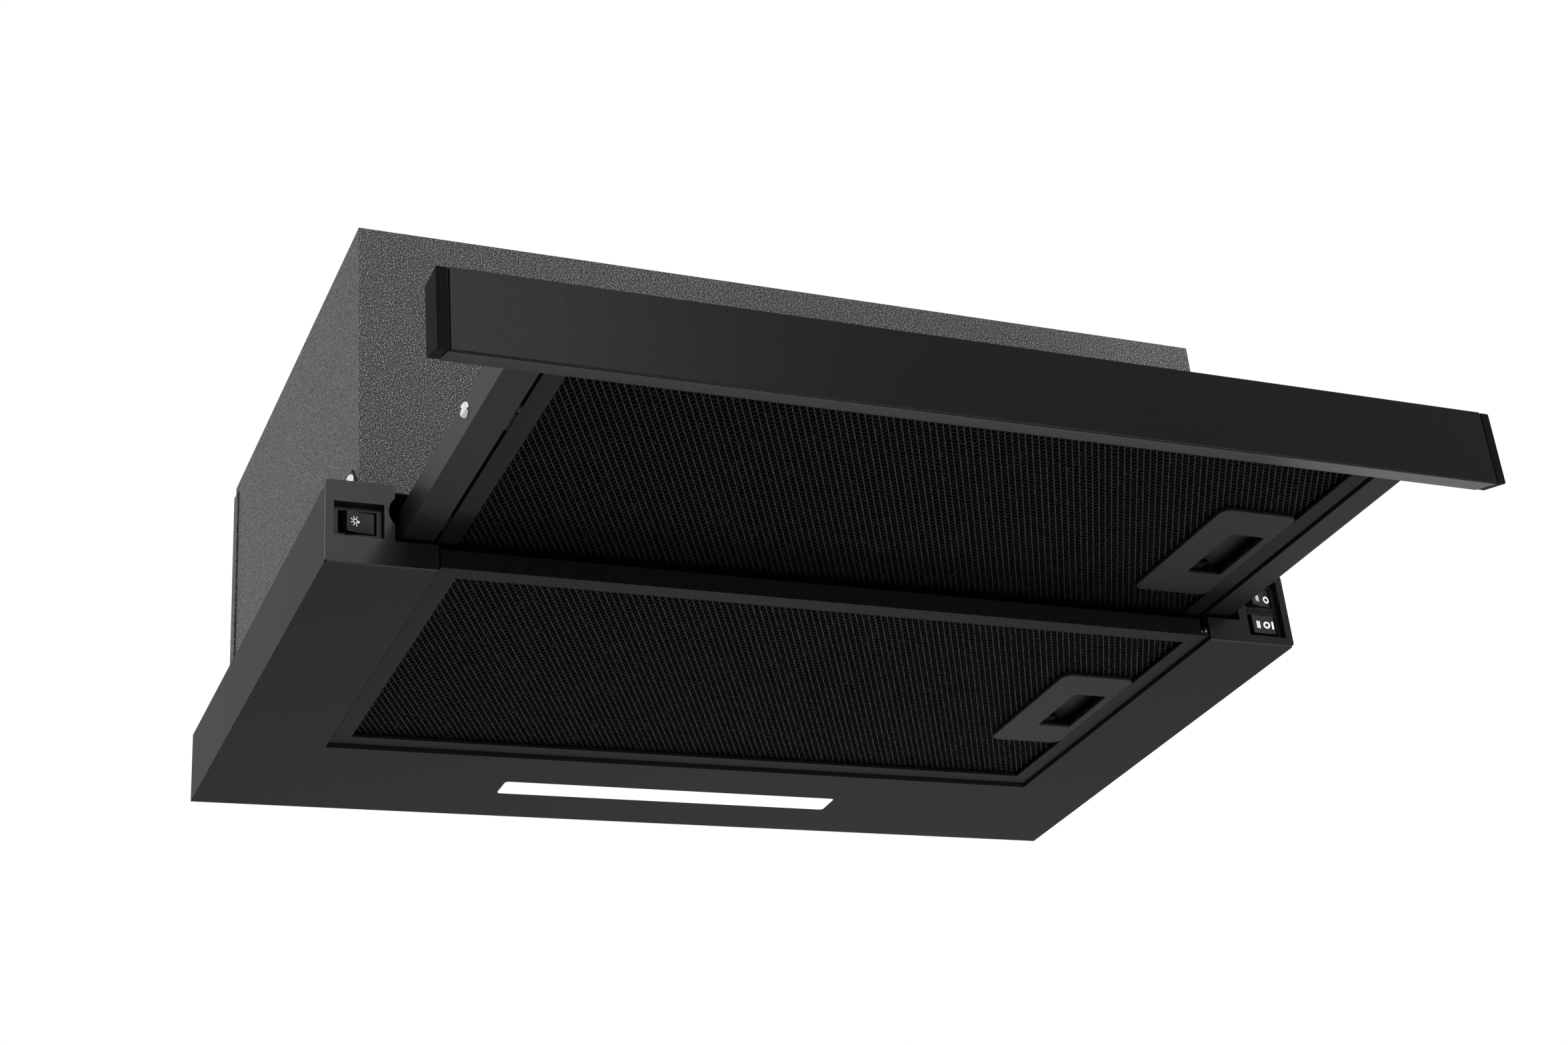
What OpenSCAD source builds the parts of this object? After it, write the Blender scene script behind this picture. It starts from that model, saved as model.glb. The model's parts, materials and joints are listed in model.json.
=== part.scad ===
// Pull-out range hood for a 500 mm wall cabinet, shown with its tray pulled out.
// X runs along the width, Y from the fascia to the back, Z up from the bottom panel.
// Places are given from the lower body's front plane (y = 0) and its underside (z = 0).

/* [Lower body] */
// Width of the lower body over its side walls
body_w = 498; // [480:2:600]
// Depth of the lower body from its front plane to its back
body_d = 292; // [284:2:330]
// Height of the lower body's side walls
side_h = 37; // [36.5:0.5:44]
// Width beside the filters, on either side, that the tray's rails and the pods take up
side_room = 51; // [50:0.5:60]
// Depth of the bottom panel behind its intake opening
back_room = 83.4; // [80:0.1:100]
// Thickness of the steel sheet
sheet = 0.8; // [0.6:0.1:1]

/* [Upper housing] */
// Setback of the upper housing's side walls from the lower body's sides
box_inset = 19; // [17:0.5:28]
// Setback of the upper housing's front wall from the front plane
box_front = 17; // [16:0.5:24]
// Height of the top panel above the underside
box_top = 185; // [184:1:240]

/* [Filters] */
// Thickness of one grease filter
filter_h = 9.1; // [8:0.1:9.5]
// Width of the filter frame's bars seen from below
filter_border = 9.4; // [7:0.5:14]
// Recess of the rear filter above the bottom panel's underside
filter_rise = 1.5; // [1:0.1:1.8]
// Columns of gaps across the filter mesh
mesh_cols = 22; // [10:1:22]
// Rows of gaps along the filter mesh
mesh_rows = 6; // [3:1:6]
// Width of a strand of the filter mesh
mesh_strand = 1.5; // [1:0.1:3]

/* [Latches] */
// Width of a latch plate, from the mesh to the frame's right bar
latch_w = 42; // [38:0.5:48]
// Length of a latch plate along the frame's bar
latch_d = 87; // [80:1:100]
// Width of the finger slot in a latch plate
slot_w = 19; // [17:0.5:24]
// Length of the finger slot in a latch plate
slot_d = 42; // [36:1:50]
// Travel of a latch bolt
bolt_travel = 3.5; // [2:0.5:4]

/* [Tray] */
// Height of the tray's underside above the bottom panel's underside
tray_z = 15; // [14.5:0.1:15.5]
// Width of a tray rail
rail_w = 14.7; // [13:0.1:17]
// Height of a tray rail's outer wall
rail_h = 15; // [14:0.5:16]
// Length of a tray rail that stays inside the body when the tray is out
rail_back = 80; // [70:1:100]
// Length by which the front filter still laps over the rear one when the tray is out
filter_lap = 42; // [30:0.5:65]

/* [Fascia] */
// Overhang of the fascia past the lower body on either side
fascia_over = 1; // [0:0.5:60]
// Thickness of the fascia from front to back
fascia_t = 16; // [12:0.5:20]
// Height of the fascia's lower front edge above the underside
fascia_low = 2; // [0.5:0.1:4]
// Height of the fascia's top above the underside
fascia_top = 39; // [36:0.5:42]
// Rise of the fascia's underside from front to back
fascia_slope = 4.4; // [1:0.1:8]
// Width of one end cap of the fascia
cap_w = 4.6; // [3:0.1:8]

/* [Control pods] */
// Height of the plastic pods above the underside
pod_h = 39.5; // [38.5:0.5:46]
// Depth of a pod behind the front plane
pod_d = 14; // [12:0.5:16]
// Thickness of a pod's moulded wall
pod_wall = 2; // [1.5:0.1:2.5]
// Height of the low step that runs in under the tray
step_z = 12; // [11.5:0.1:12.2]

/* [Switches] */
// Width of a switch rocker
rocker_w = 13.2; // [12.5:0.1:14.4]
// Height of a switch rocker
rocker_h = 10.2; // [9:0.1:11]
// Angle of a rocker to either side of its middle
rocker_tilt = 14; // [5:0.5:14]

/* [Light] */
// Length of the light's lens
lens_w = 190.5; // [120:0.5:260]
// Width of the light's lens
lens_d = 17; // [12:0.5:20]
// Distance from the back of the body to the middle of the lens
lens_back = 41.5; // [36:0.5:46]

/* [Blower] */
// Height inside the upper housing that the wheel leaves to the scroll round it
wheel_room = 44; // [40:0.5:56]
// Width of the blower wheel
wheel_w = 84; // [70:1:88]
// Number of blades round the blower wheel
blade_count = 40; // [24:1:48]
// Distance from the wheel's top to the top panel
wheel_head = 13.5; // [12:0.5:16]
// Distance from the wheel's rear edge to the back of the body
wheel_back = 53; // [46:1:60]

/* [Outlet] */
// Outside diameter of the outlet collar, for a duct of 120 mm
collar_d = 119; // [100:0.5:124]
// Height of the collar above the top panel
collar_h = 30; // [26:1:50]
// Distance of the collar's axis in front of the wheel's axis
collar_fore = 32; // [27:1:37]

/* [Hidden] */
$fn = 64;

// Overrun of every cut past the face that it goes through
over = 1;
// Gap between parts that slide or drop past one another
play = 0.1;
// Gap between a part and the seat that it rests on
seat = 0.2;
// Gap between the tray fully in and the pods' front faces
stop_gap = 0.5;
// Reach of a screw hole to either side of the sheet that it goes through
hole_reach = 3;

// Gaps round the filters, and the opening that they leave in the bottom panel
filter_gap = 0.9;
rear_gap = 2.5;
tray_gap = 2.3;
filter_front = 0.6;
filter_w = body_w - 2 * side_room;
filter_d = body_d - back_room - rear_gap - filter_front;
open_w = filter_w + 2 * filter_gap;
open_d = filter_front + filter_d + rear_gap;
rim_h = step_z;

// Upper housing, and the travel of the tray
box_w = body_w - 2 * box_inset;
travel = filter_d - filter_lap;

// Tray rails and the upright edge of the pods beside them
rail_in = filter_w / 2 + tray_gap;
rail_out = rail_in + rail_w;
rail_clear = 3.4;
pod_in = rail_out + rail_clear;
pod_gap = 0.9;
pod_low = filter_w / 2 + pod_gap;

// Fascia and the tray's front
fascia_w = body_w + 2 * fascia_over;
fascia_back = -(travel + stop_gap);
fascia_front = fascia_back - fascia_t;
tray_filter_lift = 0.3;
tray_filter_x = -0.5;
tray_filter_y = fascia_back + sheet + seat;
tray_filter_z = tray_z + tray_filter_lift;

// Middle of the whole hood from front to back, where the frame's origin lies
y_mid = (fascia_front + body_d) / 2;

// Flanges folded on the sheet metal
flange = 10;
box_flange = 8;

// Height of the back panel's edges below the top panel
back_drop = 6;
back_lip = 9;

// Joining tabs between the lower body and the upper housing
tab_y = 19;
tab_d = 18;
tab_h = 23;
tab_slope_share = 0.45;
tab_screw_y = tab_y + tab_d / 2;
tab_screw_z = side_h + tab_h - tab_d / 3;

// Fixing holes for the cabinet
fix_r = 2.5;
fix_top_side = 80;
fix_top_front = 38;
fix_top_back = 37;
fix_top_x = box_w / 2 - fix_top_side;
fix_top_y = box_front + fix_top_front;
fix_top_span = body_d - fix_top_back - fix_top_y;

// Screws: shank radius, head radius and head height
screw_r = 1.9;
screw_head_r = 3.8;
screw_head_h = 2.3;
screw_len = 7;
screw_hole_r = 2;
motor_screw_len = 12;
cross_w = 0.9;
cross_share = 1.3;

// Filter frame: wall, hem under the mesh, top border and the tabs at its left end
frame_wall = 0.8;
hem_h = 1.8;
hem_w = 1;
top_border = 6;
hinge_tab_y_share = 0.27;
hinge_tab_d = 14;
hinge_tab_len = 4.2;
hinge_tab_z = 0.5;
hinge_slot_h = 6;
mesh_t = 0.9;
corner_cut_x = 3.8;
corner_cut_y = 8;

// Latch plate, its slot walls, and the bolt that slides in it
latch_t = 1.8;
latch_wall = 1.2;
latch_case_h = 8;
slide_lap = 3.6;
ramp_lead = 0.6;
ramp_w = 6.6;
ramp_h = 4.4;
ramp_t = 1;
hump_d = 8;
hump_w = 5;
hump_h = 1.2;
latch_corner_r = 5;
slot_corner_r = 1.5;
slot_side_share = 0.12;
bolt_w = 16;
bolt_h = 2.2;
bolt_gap = 0.4;

// Fascia walls, the groove over the front skin, and the end caps' corner radius
skin_t = 1.2;
skin_groove = 0.5;
core_wall = 1.6;
cap_r = 1;
cap_chamfer = 2;
groove_h = 1;
plug_len = 8;

// Control pods: flange round their edge, bulge beside the rail screw, and switch windows
pod_flange_wall = 1.2;
pod_inset = sheet + seat;
pod_corner_r = 1.6;
bulge_r = 9;
bulge_inset = 6.3;
bulge_x = pod_in - bulge_inset;
bulge_z = 26.6;
window_side = 14.8;
window_x = body_w / 2 - window_side;
window_margin = 3.7;
left_window_w = 2 * (window_side - window_margin);
left_window_z = 12.6;
left_window_h = 16.6;
right_window_w = left_window_w - 2 * seat;
right_window_z = 4;
right_window_h = 31.4;

// Switches
bezel_y = 3.5;
bezel_t = 1.4;
switch_d = 11;
switch_side = 2.6;
switch_inset = 1.9;
rocker_gap = 1.8;
rocker_gap_z = 0.35;
rocker_gap_back = 1.1;
rocker_end = 5.4;
rocker_valley = 4.7;
rocker_side = 1.2;
rocker_axis_y = 7.3;
rocker_back_r = 4.4;
blade_w = 2.8;
blade_t = 0.8;
blade_len = 6;
blade_pitch = 7;

// Light
lens_t = 2.2;
lens_lip = 3;
lens_r = 2;
lens_gap = 0.15;
lens_proud = 0.1;
light_h = 9;
light_wall = 1;
board_t = 1.6;
board_z = 5.4;
led_count = 12;
led_size = 3;
led_h = 0.8;
driver_w = 84;
driver_d = 40;
driver_h = 12;
lug_w = 16;
lug_t = 2;
lens_y = body_d - lens_back;
driver_x = -(lens_w / 2 + lens_lip + light_wall + body_w / 2) / 2;
driver_y = lens_y;

// Outlet collar and its two flaps
collar_wall = 1.8;
collar_flange = 12;
collar_flange_t = 2;
collar_bead = 0.6;
flap_z = 10;
flap_t = 1.2;
flap_gap = 1.2;
flap_lug_r = 2.8;
flap_pin_r = 1.2;
flap_play = 0.05;
flap_stop_w = 2.4;
lug_len = 16;
lug_pitch = 19;

// Blower scroll: how far it grows round the wheel, and its outlet
scroll_start = 6;
scroll_end = 36;
scroll_wall = 2;
scroll_side = 6;
outlet_reach = 24;
inlet_share = 0.84;
inlet_lip = 6;
inlet_bell = 6;
inlet_gap = 0.3;
inlet_land = 1;
inlet_rim = 3.4;
inlet_rim_t = 1.2;
scroll_steps = 40;
scroll_flange = 5;

// Blower wheel
wheel_r = (box_top - side_h - wheel_room) / 2;
wheel_y = body_d - wheel_back - wheel_r;
wheel_z = box_top - wheel_head - wheel_r;
collar_y = wheel_y - collar_fore;
blade_depth = 9;
blade_t_wheel = 1.1;
blade_lean = 28;
ring_t = 1.6;
hub_t = 3;
hub_r = 11;
hub_len = 14;
shaft_r = 4;
shaft_play = 0.05;

// Motor and its bracket
motor_clear = 9;
motor_short = 12;
motor_step = 10;
motor_r = wheel_r - blade_depth - motor_clear;
motor_len = wheel_w / 2 - motor_short;
motor_cap_r = motor_r - motor_step;
motor_cap_len = 7;
bearing_r = 9;
bearing_len = 4;
motor_gap = 6;
arm_w = 13;
arm_t = 2;
arm_count = 3;
arm_hub_r = 15;
grommet_r = 6;
grommet_h = 5;
grommet_bore_r = 2.2;

// Capacitor and its clip
capacitor_r = 14;
capacitor_len = 46;
capacitor_side = 50;
capacitor_fore = 37;
capacitor_x = wheel_w / 2 + capacitor_side;
capacitor_y = wheel_y - capacitor_fore;
clip_t = 1.2;
clip_w = 16;

// Terminal box, cable gland and its nut
term_w = 84;
term_d = 54;
term_h = 30;
term_wall = 2;
term_cover_t = 2;
term_side = 65;
term_back = 92;
term_x = term_side - box_w / 2;
term_y = body_d - term_back;
strip_w = 52;
strip_d = 14;
strip_h = 12;
strip_ways = 5;
strip_y = 17.8;
gland_r = 8.2;
gland_hex_r = 11;
gland_hex_h = 5;
gland_dome_h = 11;
gland_dome_r = 8.6;
gland_bore_r = 4;
gland_thread = 9;
nut_h = 4;

// Guide channels, shoes and pads of the tray
channel_t = 0.8;
channel_gap = 1.2;
channel_y = 24;
channel_back = 6;
shoe_w = 10.8;
shoe_d = 33;
shoe_h = 11.8;
pad_w = 11;
pad_d = 7;
pad_y = 5;

// Tray bars and the screws seen on its rails
bar_top_h = 1;
bar_flange = 9;
rear_bar_h = 9;
rear_bar_d = 12;
rail_lip_h = 11;
rail_screw_z = 24.5;
rail_screw_front = 66;
rail_screw_y = fascia_back + rail_screw_front;
bar_screw_x = (rail_in + rail_out) / 2;
bar_screw_z = 22;

// Small screw at the right pod's low step: head, and its place above the filter's hem
step_screw_r = 2.4;
step_screw_h = 1.5;
step_screw_y = 4.8;
step_screw_z = filter_rise + hem_h + seat + step_screw_r;

function arc(cx, cy, r, from, to, steps) = [for (i = [0:steps])
    [cx + r * cos(from + (to - from) * i / steps), cy + r * sin(from + (to - from) * i / steps)]];

function rounded(x0, y0, x1, y1, r) = concat(
    arc(x1 - r, y1 - r, r, 0, 90, 8), arc(x0 + r, y1 - r, r, 90, 180, 8),
    arc(x0 + r, y0 + r, r, 180, 270, 8), arc(x1 - r, y0 + r, r, 270, 360, 8));

// Moves the hood so that the frame's origin lies under its middle
module in_place() {
    translate([0, -y_mid, 0]) children();
}

// A block between two corners
module block(lo, hi) {
    translate(lo) cube([hi[0] - lo[0], hi[1] - lo[1], hi[2] - lo[2]]);
}

// Both hands of a part
module both_sides() {
    children();
    mirror([1, 0, 0]) children();
}

// An outline in X and Z, made thick along Y
module upright(y0, thick) {
    translate([0, y0 + thick, 0]) rotate([90, 0, 0]) linear_extrude(thick) children();
}

// An outline in Y and Z, made wide along X
module profile(x0, wide) {
    translate([x0, 0, 0]) rotate([90, 0, 90]) linear_extrude(wide) children();
}

// A round bar along X
module bar_x(x0, wide, r) {
    translate([x0, 0, 0]) rotate([0, 90, 0]) cylinder(h = wide, r = r);
}

// A pan-head screw whose head's underside lies at the origin, head towards +Z
module screw(long, head_r = screw_head_r, head_h = screw_head_h) {
    difference() {
        rotate_extrude() polygon(concat([[0, -long], [screw_r, -long], [screw_r, 0]],
            [for (a = [0:15:90]) [head_r * cos(a), head_h * sin(a)]]));
        for (turn = [0, 90]) rotate([0, 0, turn])
            block([-head_r / cross_share / 2, -cross_w / 2, head_h / 2],
                [head_r / cross_share / 2, cross_w / 2, head_h + over]);
    }
}

// A screw hole through sheet, along Z at the origin
module screw_hole(r) {
    translate([0, 0, -hole_reach]) cylinder(h = 2 * hole_reach, r = r);
}

module window(x0, y0, x1, y1) {
    polygon(rounded(x0, y0, x1, y1, lens_r));
}

// Lower body: bottom panel with its intake opening and rims, sides, back and top flanges
module lower_body() {
    half = body_w / 2;
    light_x = lens_w / 2 + lens_gap;
    light_y = lens_d / 2 + lens_gap;
    color("#1c1c1d") in_place() difference() {
        union() {
            difference() {
                block([-half, pod_wall, 0], [half, body_d, sheet]);
                block([-open_w / 2, -over, -over], [open_w / 2, open_d, sheet + over]);
                translate([0, 0, -over]) linear_extrude(sheet + 2 * over)
                    window(-light_x, lens_y - light_y, light_x, lens_y + light_y);
            }
            both_sides() {
                block([half - sheet, pod_wall, 0], [half, body_d, side_h]);
                block([open_w / 2, pod_d + seat, 0], [open_w / 2 + sheet, open_d + sheet, rim_h]);
                block([box_w / 2 - flange, pod_wall, side_h - sheet], [half, body_d, side_h]);
                profile(box_w / 2, sheet) polygon([[tab_y, side_h - sheet], [tab_y + tab_d, side_h - sheet],
                    [tab_y + tab_d, side_h + tab_h], [tab_y + tab_d * tab_slope_share, side_h + tab_h],
                    [tab_y, side_h + tab_h * (1 - tab_slope_share)]]);
            }
            block([-half, body_d - sheet, 0], [half, body_d, side_h]);
            block([-open_w / 2, open_d, 0], [open_w / 2, open_d + sheet, rim_h]);
            block([-half, pod_wall, side_h - sheet], [half, box_front + flange, side_h]);
            block([-half, body_d - flange, side_h - sheet], [half, body_d, side_h]);
        }
        both_sides() block([pod_in - seat, pod_wall - over, side_h - sheet - over],
            [body_w / 2 - sheet, pod_d + seat, side_h + over]);
        for (side = [-1, 1]) translate([side * box_w / 2, tab_screw_y, tab_screw_z]) rotate([0, 90, 0])
            screw_hole(screw_hole_r);
        for (y = hinge_tab_places(filter_front))
            block([-open_w / 2 - sheet - over, y - hinge_tab_d / 2 - play, filter_rise - play],
                [-open_w / 2 + over, y + hinge_tab_d / 2 + play, filter_rise + hinge_slot_h]);
        block([open_w / 2 - over, latch_mid(filter_front) - bolt_w / 2 - seat, filter_rise + latch_t],
            [open_w / 2 + sheet + over, latch_mid(filter_front) + bolt_w / 2 + seat,
            filter_rise + latch_t + bolt_h + 2 * seat]);
    }
}

// Upper housing: front and sides in one folded sheet, with folds at its foot and its rear edges
module upper_housing() {
    half = box_w / 2;
    back = body_d - sheet;
    fold_top = box_top - box_flange - back_drop - play;
    color("#2c2c2d") in_place() difference() {
        union() {
            block([-half, box_front, side_h], [half, box_front + sheet, box_top]);
            block([-half, box_front, side_h], [half, box_front + box_flange, side_h + sheet]);
            both_sides() {
                block([half - sheet, box_front, side_h], [half, back, box_top]);
                block([half - box_flange, box_front, side_h], [half, back, side_h + sheet]);
                block([half - box_flange, back - sheet, side_h], [half, back, fold_top]);
            }
        }
        for (side = [-1, 1]) translate([side * half, tab_screw_y, tab_screw_z]) rotate([0, 90, 0])
            screw_hole(screw_hole_r);
    }
}

// Top panel, let in between the housing's walls, with its folds turned down along them
module top_panel() {
    half = box_w / 2 - sheet - play;
    front = box_front + sheet + play;
    back = body_d - sheet;
    color("#262627") in_place() difference() {
        union() {
            block([-half, front, box_top - sheet], [half, back, box_top]);
            block([-half, front, box_top - box_flange], [half, front + sheet, box_top]);
            block([-half, back - sheet, box_top - box_flange - back_drop], [half, back, box_top]);
            both_sides()
                block([half - sheet, front, box_top - box_flange], [half, back, box_top]);
        }
        translate([0, collar_y, box_top]) screw_hole(collar_d / 2 - collar_wall);
        for (x = [-fix_top_x, fix_top_x], y = [fix_top_y, fix_top_y + fix_top_span])
            translate([x, y, box_top]) screw_hole(fix_r);
        translate([term_x, term_y, box_top]) screw_hole(gland_r + play);
        for (p = collar_screws()) translate([p[0], p[1], box_top]) screw_hole(screw_hole_r);
    }
}

function collar_screws() = [for (a = [20, 160, 200, 340]) let (r = (collar_d + collar_flange) / 2)
    [r * cos(a), collar_y + r * sin(a)]];

// Back panel, with lips that lap over the housing's sides
module back_panel() {
    half = box_w / 2 + play + sheet;
    top = box_top - back_drop;
    color("#242425") in_place() {
        block([-half, body_d - sheet, side_h], [half, body_d, top]);
        both_sides() block([half - sheet, body_d - back_lip, side_h], [half, body_d, top]);
    }
}

// Outline of a right-hand pod's front: tall at the switches, low under the tray
module pod_outline(inset) {
    r = pod_corner_r;
    out = body_w / 2 - inset;
    low = pod_low + inset;
    tall = pod_in + inset;
    difference() {
        polygon(concat(
            arc(out - r, pod_h - inset - r, r, 0, 90, 6),
            arc(tall + r, pod_h - inset - r, r, 90, 180, 6),
            [[tall, step_z - inset]],
            arc(low + r / 2, step_z - inset - r / 2, r / 2, 90, 180, 4),
            [[low, inset]],
            arc(out - r, inset + r, r, 270, 360, 6)));
        translate([bulge_x, bulge_z]) circle(r = bulge_r + inset);
    }
}

// A pod's moulded wall and the flange behind it, with room for a switch window
module pod(window_z, window_w, window_h) {
    difference() {
        union() {
            upright(0, pod_wall) pod_outline(0);
            upright(pod_wall, pod_d - pod_wall) difference() {
                pod_outline(pod_inset);
                pod_outline(pod_inset + pod_flange_wall);
            }
            upright(pod_wall, bezel_y + bezel_t - pod_wall) translate([window_x, window_z + window_h / 2])
                square([window_w + 2 * pod_flange_wall, window_h + 2 * pod_flange_wall], center = true);
        }
        upright(-over, bezel_y + bezel_t + 2 * over) translate([window_x, window_z + window_h / 2])
            square([window_w, window_h], center = true);
    }
}

// Left pod, with the window of the light switch
module left_pod() {
    color("#1b1b1b") in_place() mirror([1, 0, 0]) pod(left_window_z, left_window_w, left_window_h);
}

// Right pod, with the window of the two motor switches and the screw hole in its low step
module right_pod() {
    color("#1b1b1b") in_place() difference() {
        pod(right_window_z, right_window_w, right_window_h);
        translate([pod_low, step_screw_y, step_screw_z]) rotate([0, 90, 0]) screw_hole(screw_r + play);
    }
}

// A rocker switch's fixed case, seen from its front at (x, z)
module switch_case(x, z, wide, high) {
    translate([x, 0, z]) difference() {
        union() {
            upright(bezel_y, bezel_t) square([wide - 2 * play, high - 2 * play], center = true);
            upright(bezel_y + bezel_t, switch_d)
                square([rocker_w + 2 * switch_side, rocker_h + 2 * switch_inset], center = true);
            for (side = [-1:1]) translate([side * blade_pitch, 0, 0])
                upright(bezel_y + bezel_t + switch_d, blade_len) square([blade_t, blade_w], center = true);
        }
        upright(bezel_y - over, rocker_axis_y + rocker_back_r + rocker_gap_back - bezel_y + over)
            square([rocker_w + 2 * rocker_gap, rocker_h + 2 * rocker_gap_z], center = true);
    }
}

// A rocker: a front that rises to a ridge and a round back about its axis, tipped by an angle
module rocker(x, z, tip) {
    half = rocker_w / 2;
    translate([x, rocker_axis_y, z - rocker_h / 2]) rotate([0, 0, tip])
        linear_extrude(rocker_h) polygon(concat(
            [[-half, -rocker_side], [-half, -rocker_end], [0, -rocker_valley], [half, -rocker_end],
                [half, -rocker_side]],
            arc(0, 0, rocker_back_r, 0, 180, 16)));
}

left_switch_z = left_window_z + left_window_h / 2;
right_case_h = right_window_h / 2;
speed_switch_z = right_window_z + right_case_h / 2;
boost_switch_z = right_window_z + right_case_h * 3 / 2;

module light_switch() {
    color("#161616") in_place() switch_case(-window_x, left_switch_z, left_window_w, left_window_h);
}

module light_rocker() {
    color("#101010") in_place() rocker(-window_x, left_switch_z, rocker_tilt);
}

module speed_switch() {
    color("#161616") in_place() switch_case(window_x, speed_switch_z, right_window_w, right_case_h);
}

module speed_rocker() {
    color("#101010") in_place() rocker(window_x, speed_switch_z, 0);
}

module boost_switch() {
    color("#161616") in_place() switch_case(window_x, boost_switch_z, right_window_w, right_case_h);
}

module boost_rocker() {
    color("#101010") in_place() rocker(window_x, boost_switch_z, rocker_tilt);
}

// Lens of the light, with a lip that rests on the bottom panel
module light_lens() {
    hx = lens_w / 2;
    hy = lens_d / 2;
    color("white") in_place() {
        translate([0, 0, lens_proud]) linear_extrude(sheet) window(-hx, lens_y - hy, hx, lens_y + hy);
        translate([0, 0, sheet]) linear_extrude(lens_t)
            window(-hx - lens_lip, lens_y - hy - lens_lip, hx + lens_lip, lens_y + hy + lens_lip);
    }
}

// Channel that holds the lens down and carries the board
module light_housing() {
    hx = lens_w / 2 + lens_lip + light_wall + play;
    hy = lens_d / 2 + lens_lip + light_wall + play;
    color("#c8c8c8") in_place() difference() {
        block([-hx, lens_y - hy, sheet], [hx, lens_y + hy, light_h]);
        block([-hx + light_wall, lens_y - hy + light_wall, sheet - over],
            [hx - light_wall, lens_y + hy - light_wall, light_h - light_wall]);
    }
}

// Board with its row of light-emitting chips, held under the channel's roof
module led_board() {
    top = light_h - light_wall;
    hx = lens_w / 2 - lens_r;
    color("#e6e6e0") in_place() {
        block([-hx, lens_y - lens_d / 3, top - board_t], [hx, lens_y + lens_d / 3, top]);
        for (i = [0:led_count - 1]) translate([-hx + (i + 1 / 2) * 2 * hx / led_count, lens_y, 0])
            block([-led_size / 2, -led_size / 2, top - board_t - led_h],
                [led_size / 2, led_size / 2, top - board_t]);
    }
}

// Driver of the light, on the bottom panel beside the lens, with a lug at either end
module led_driver() {
    color("#dcdcd6") in_place() translate([driver_x, driver_y, sheet]) {
        block([-driver_w / 2, -driver_d / 2, 0], [driver_w / 2, driver_d / 2, driver_h]);
        both_sides() difference() {
            block([driver_w / 2 - over, -lug_w / 2, 0], [driver_w / 2 + lug_w / 2, lug_w / 2, lug_t]);
            translate([driver_w / 2 + lug_w / 4, 0, -over]) cylinder(h = lug_t + 2 * over, r = screw_r);
        }
    }
}

// Round collar on the top panel, with a bead for the duct and stops for the flaps
module outlet_collar() {
    r = collar_d / 2;
    inner = r - collar_wall;
    color("#1f1f20") in_place() translate([0, collar_y, box_top]) difference() {
        union() {
            rotate_extrude($fn = 96) polygon([[inner, 0], [r + collar_flange, 0],
                [r + collar_flange, collar_flange_t], [r, collar_flange_t], [r, collar_h], [inner, collar_h],
                [inner, flap_z - play - flap_t / 2], [inner - flap_stop_w, flap_z - play - flap_t / 2],
                [inner - flap_stop_w, flap_z - flap_t * 2], [inner, flap_z - flap_t * 3]]);
        }
        for (p = collar_screws()) translate([p[0], p[1] - collar_y, 0])
            translate([0, 0, -over]) cylinder(h = collar_flange_t + 2 * over, r = screw_hole_r);
        translate([0, 0, flap_z]) bar_x(-r - over, 2 * (r + over), flap_pin_r);
    }
}

// Steel pin across the collar, which both flaps swing on
module flap_pin() {
    half = collar_d / 2 - play;
    color("silver") in_place() translate([0, collar_y, box_top + flap_z])
        bar_x(-half, 2 * half, flap_pin_r - play / 10);
}

// One half-round flap; its knuckles take turns with the other flap's along the pin
module flap(side) {
    r = collar_d / 2 - collar_wall - flap_gap;
    difference() {
        union() {
            intersection() {
                translate([0, 0, -flap_t / 2]) cylinder(h = flap_t, r = r);
                block([-r, flap_lug_r + flap_gap, -flap_t], [r, r + over, flap_t]);
            }
            for (i = [-1, 0]) translate([side * lug_pitch * (1 / 2 + 2 * i) , 0, 0]) {
                bar_x(-lug_len / 2, lug_len, flap_lug_r);
                block([-lug_len / 2, 0, -flap_t / 2], [lug_len / 2, flap_lug_r + flap_gap + over, flap_t / 2]);
            }
        }
        bar_x(-r, 2 * r, flap_pin_r + flap_play);
    }
}

module rear_flap() {
    color("#2a2a2b") in_place() translate([0, collar_y, box_top + flap_z]) flap(1);
}

module front_flap() {
    color("#2a2a2b") in_place() translate([0, collar_y, box_top + flap_z]) rotate([0, 0, 180]) flap(1);
}

// Radius of the scroll about the wheel's axis at an angle from the tongue
tongue_a = acos(outlet_reach / (wheel_r + scroll_start));
scroll_sweep = tongue_a + 180;
function scroll_r(a) = wheel_r + scroll_start + (scroll_end - scroll_start) * (tongue_a - a) / scroll_sweep;

// Outline of the scroll and its outlet up to the top panel, grown by a wall
module scroll_outline(grow, top) {
    polygon(concat(
        [for (i = [0:scroll_steps]) let (a = tongue_a - scroll_sweep * i / scroll_steps, r = scroll_r(a) + grow)
            [wheel_y + r * cos(a), wheel_z + r * sin(a)]],
        [[wheel_y - wheel_r - scroll_end - grow, top], [wheel_y + outlet_reach + grow, top]]));
}

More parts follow.
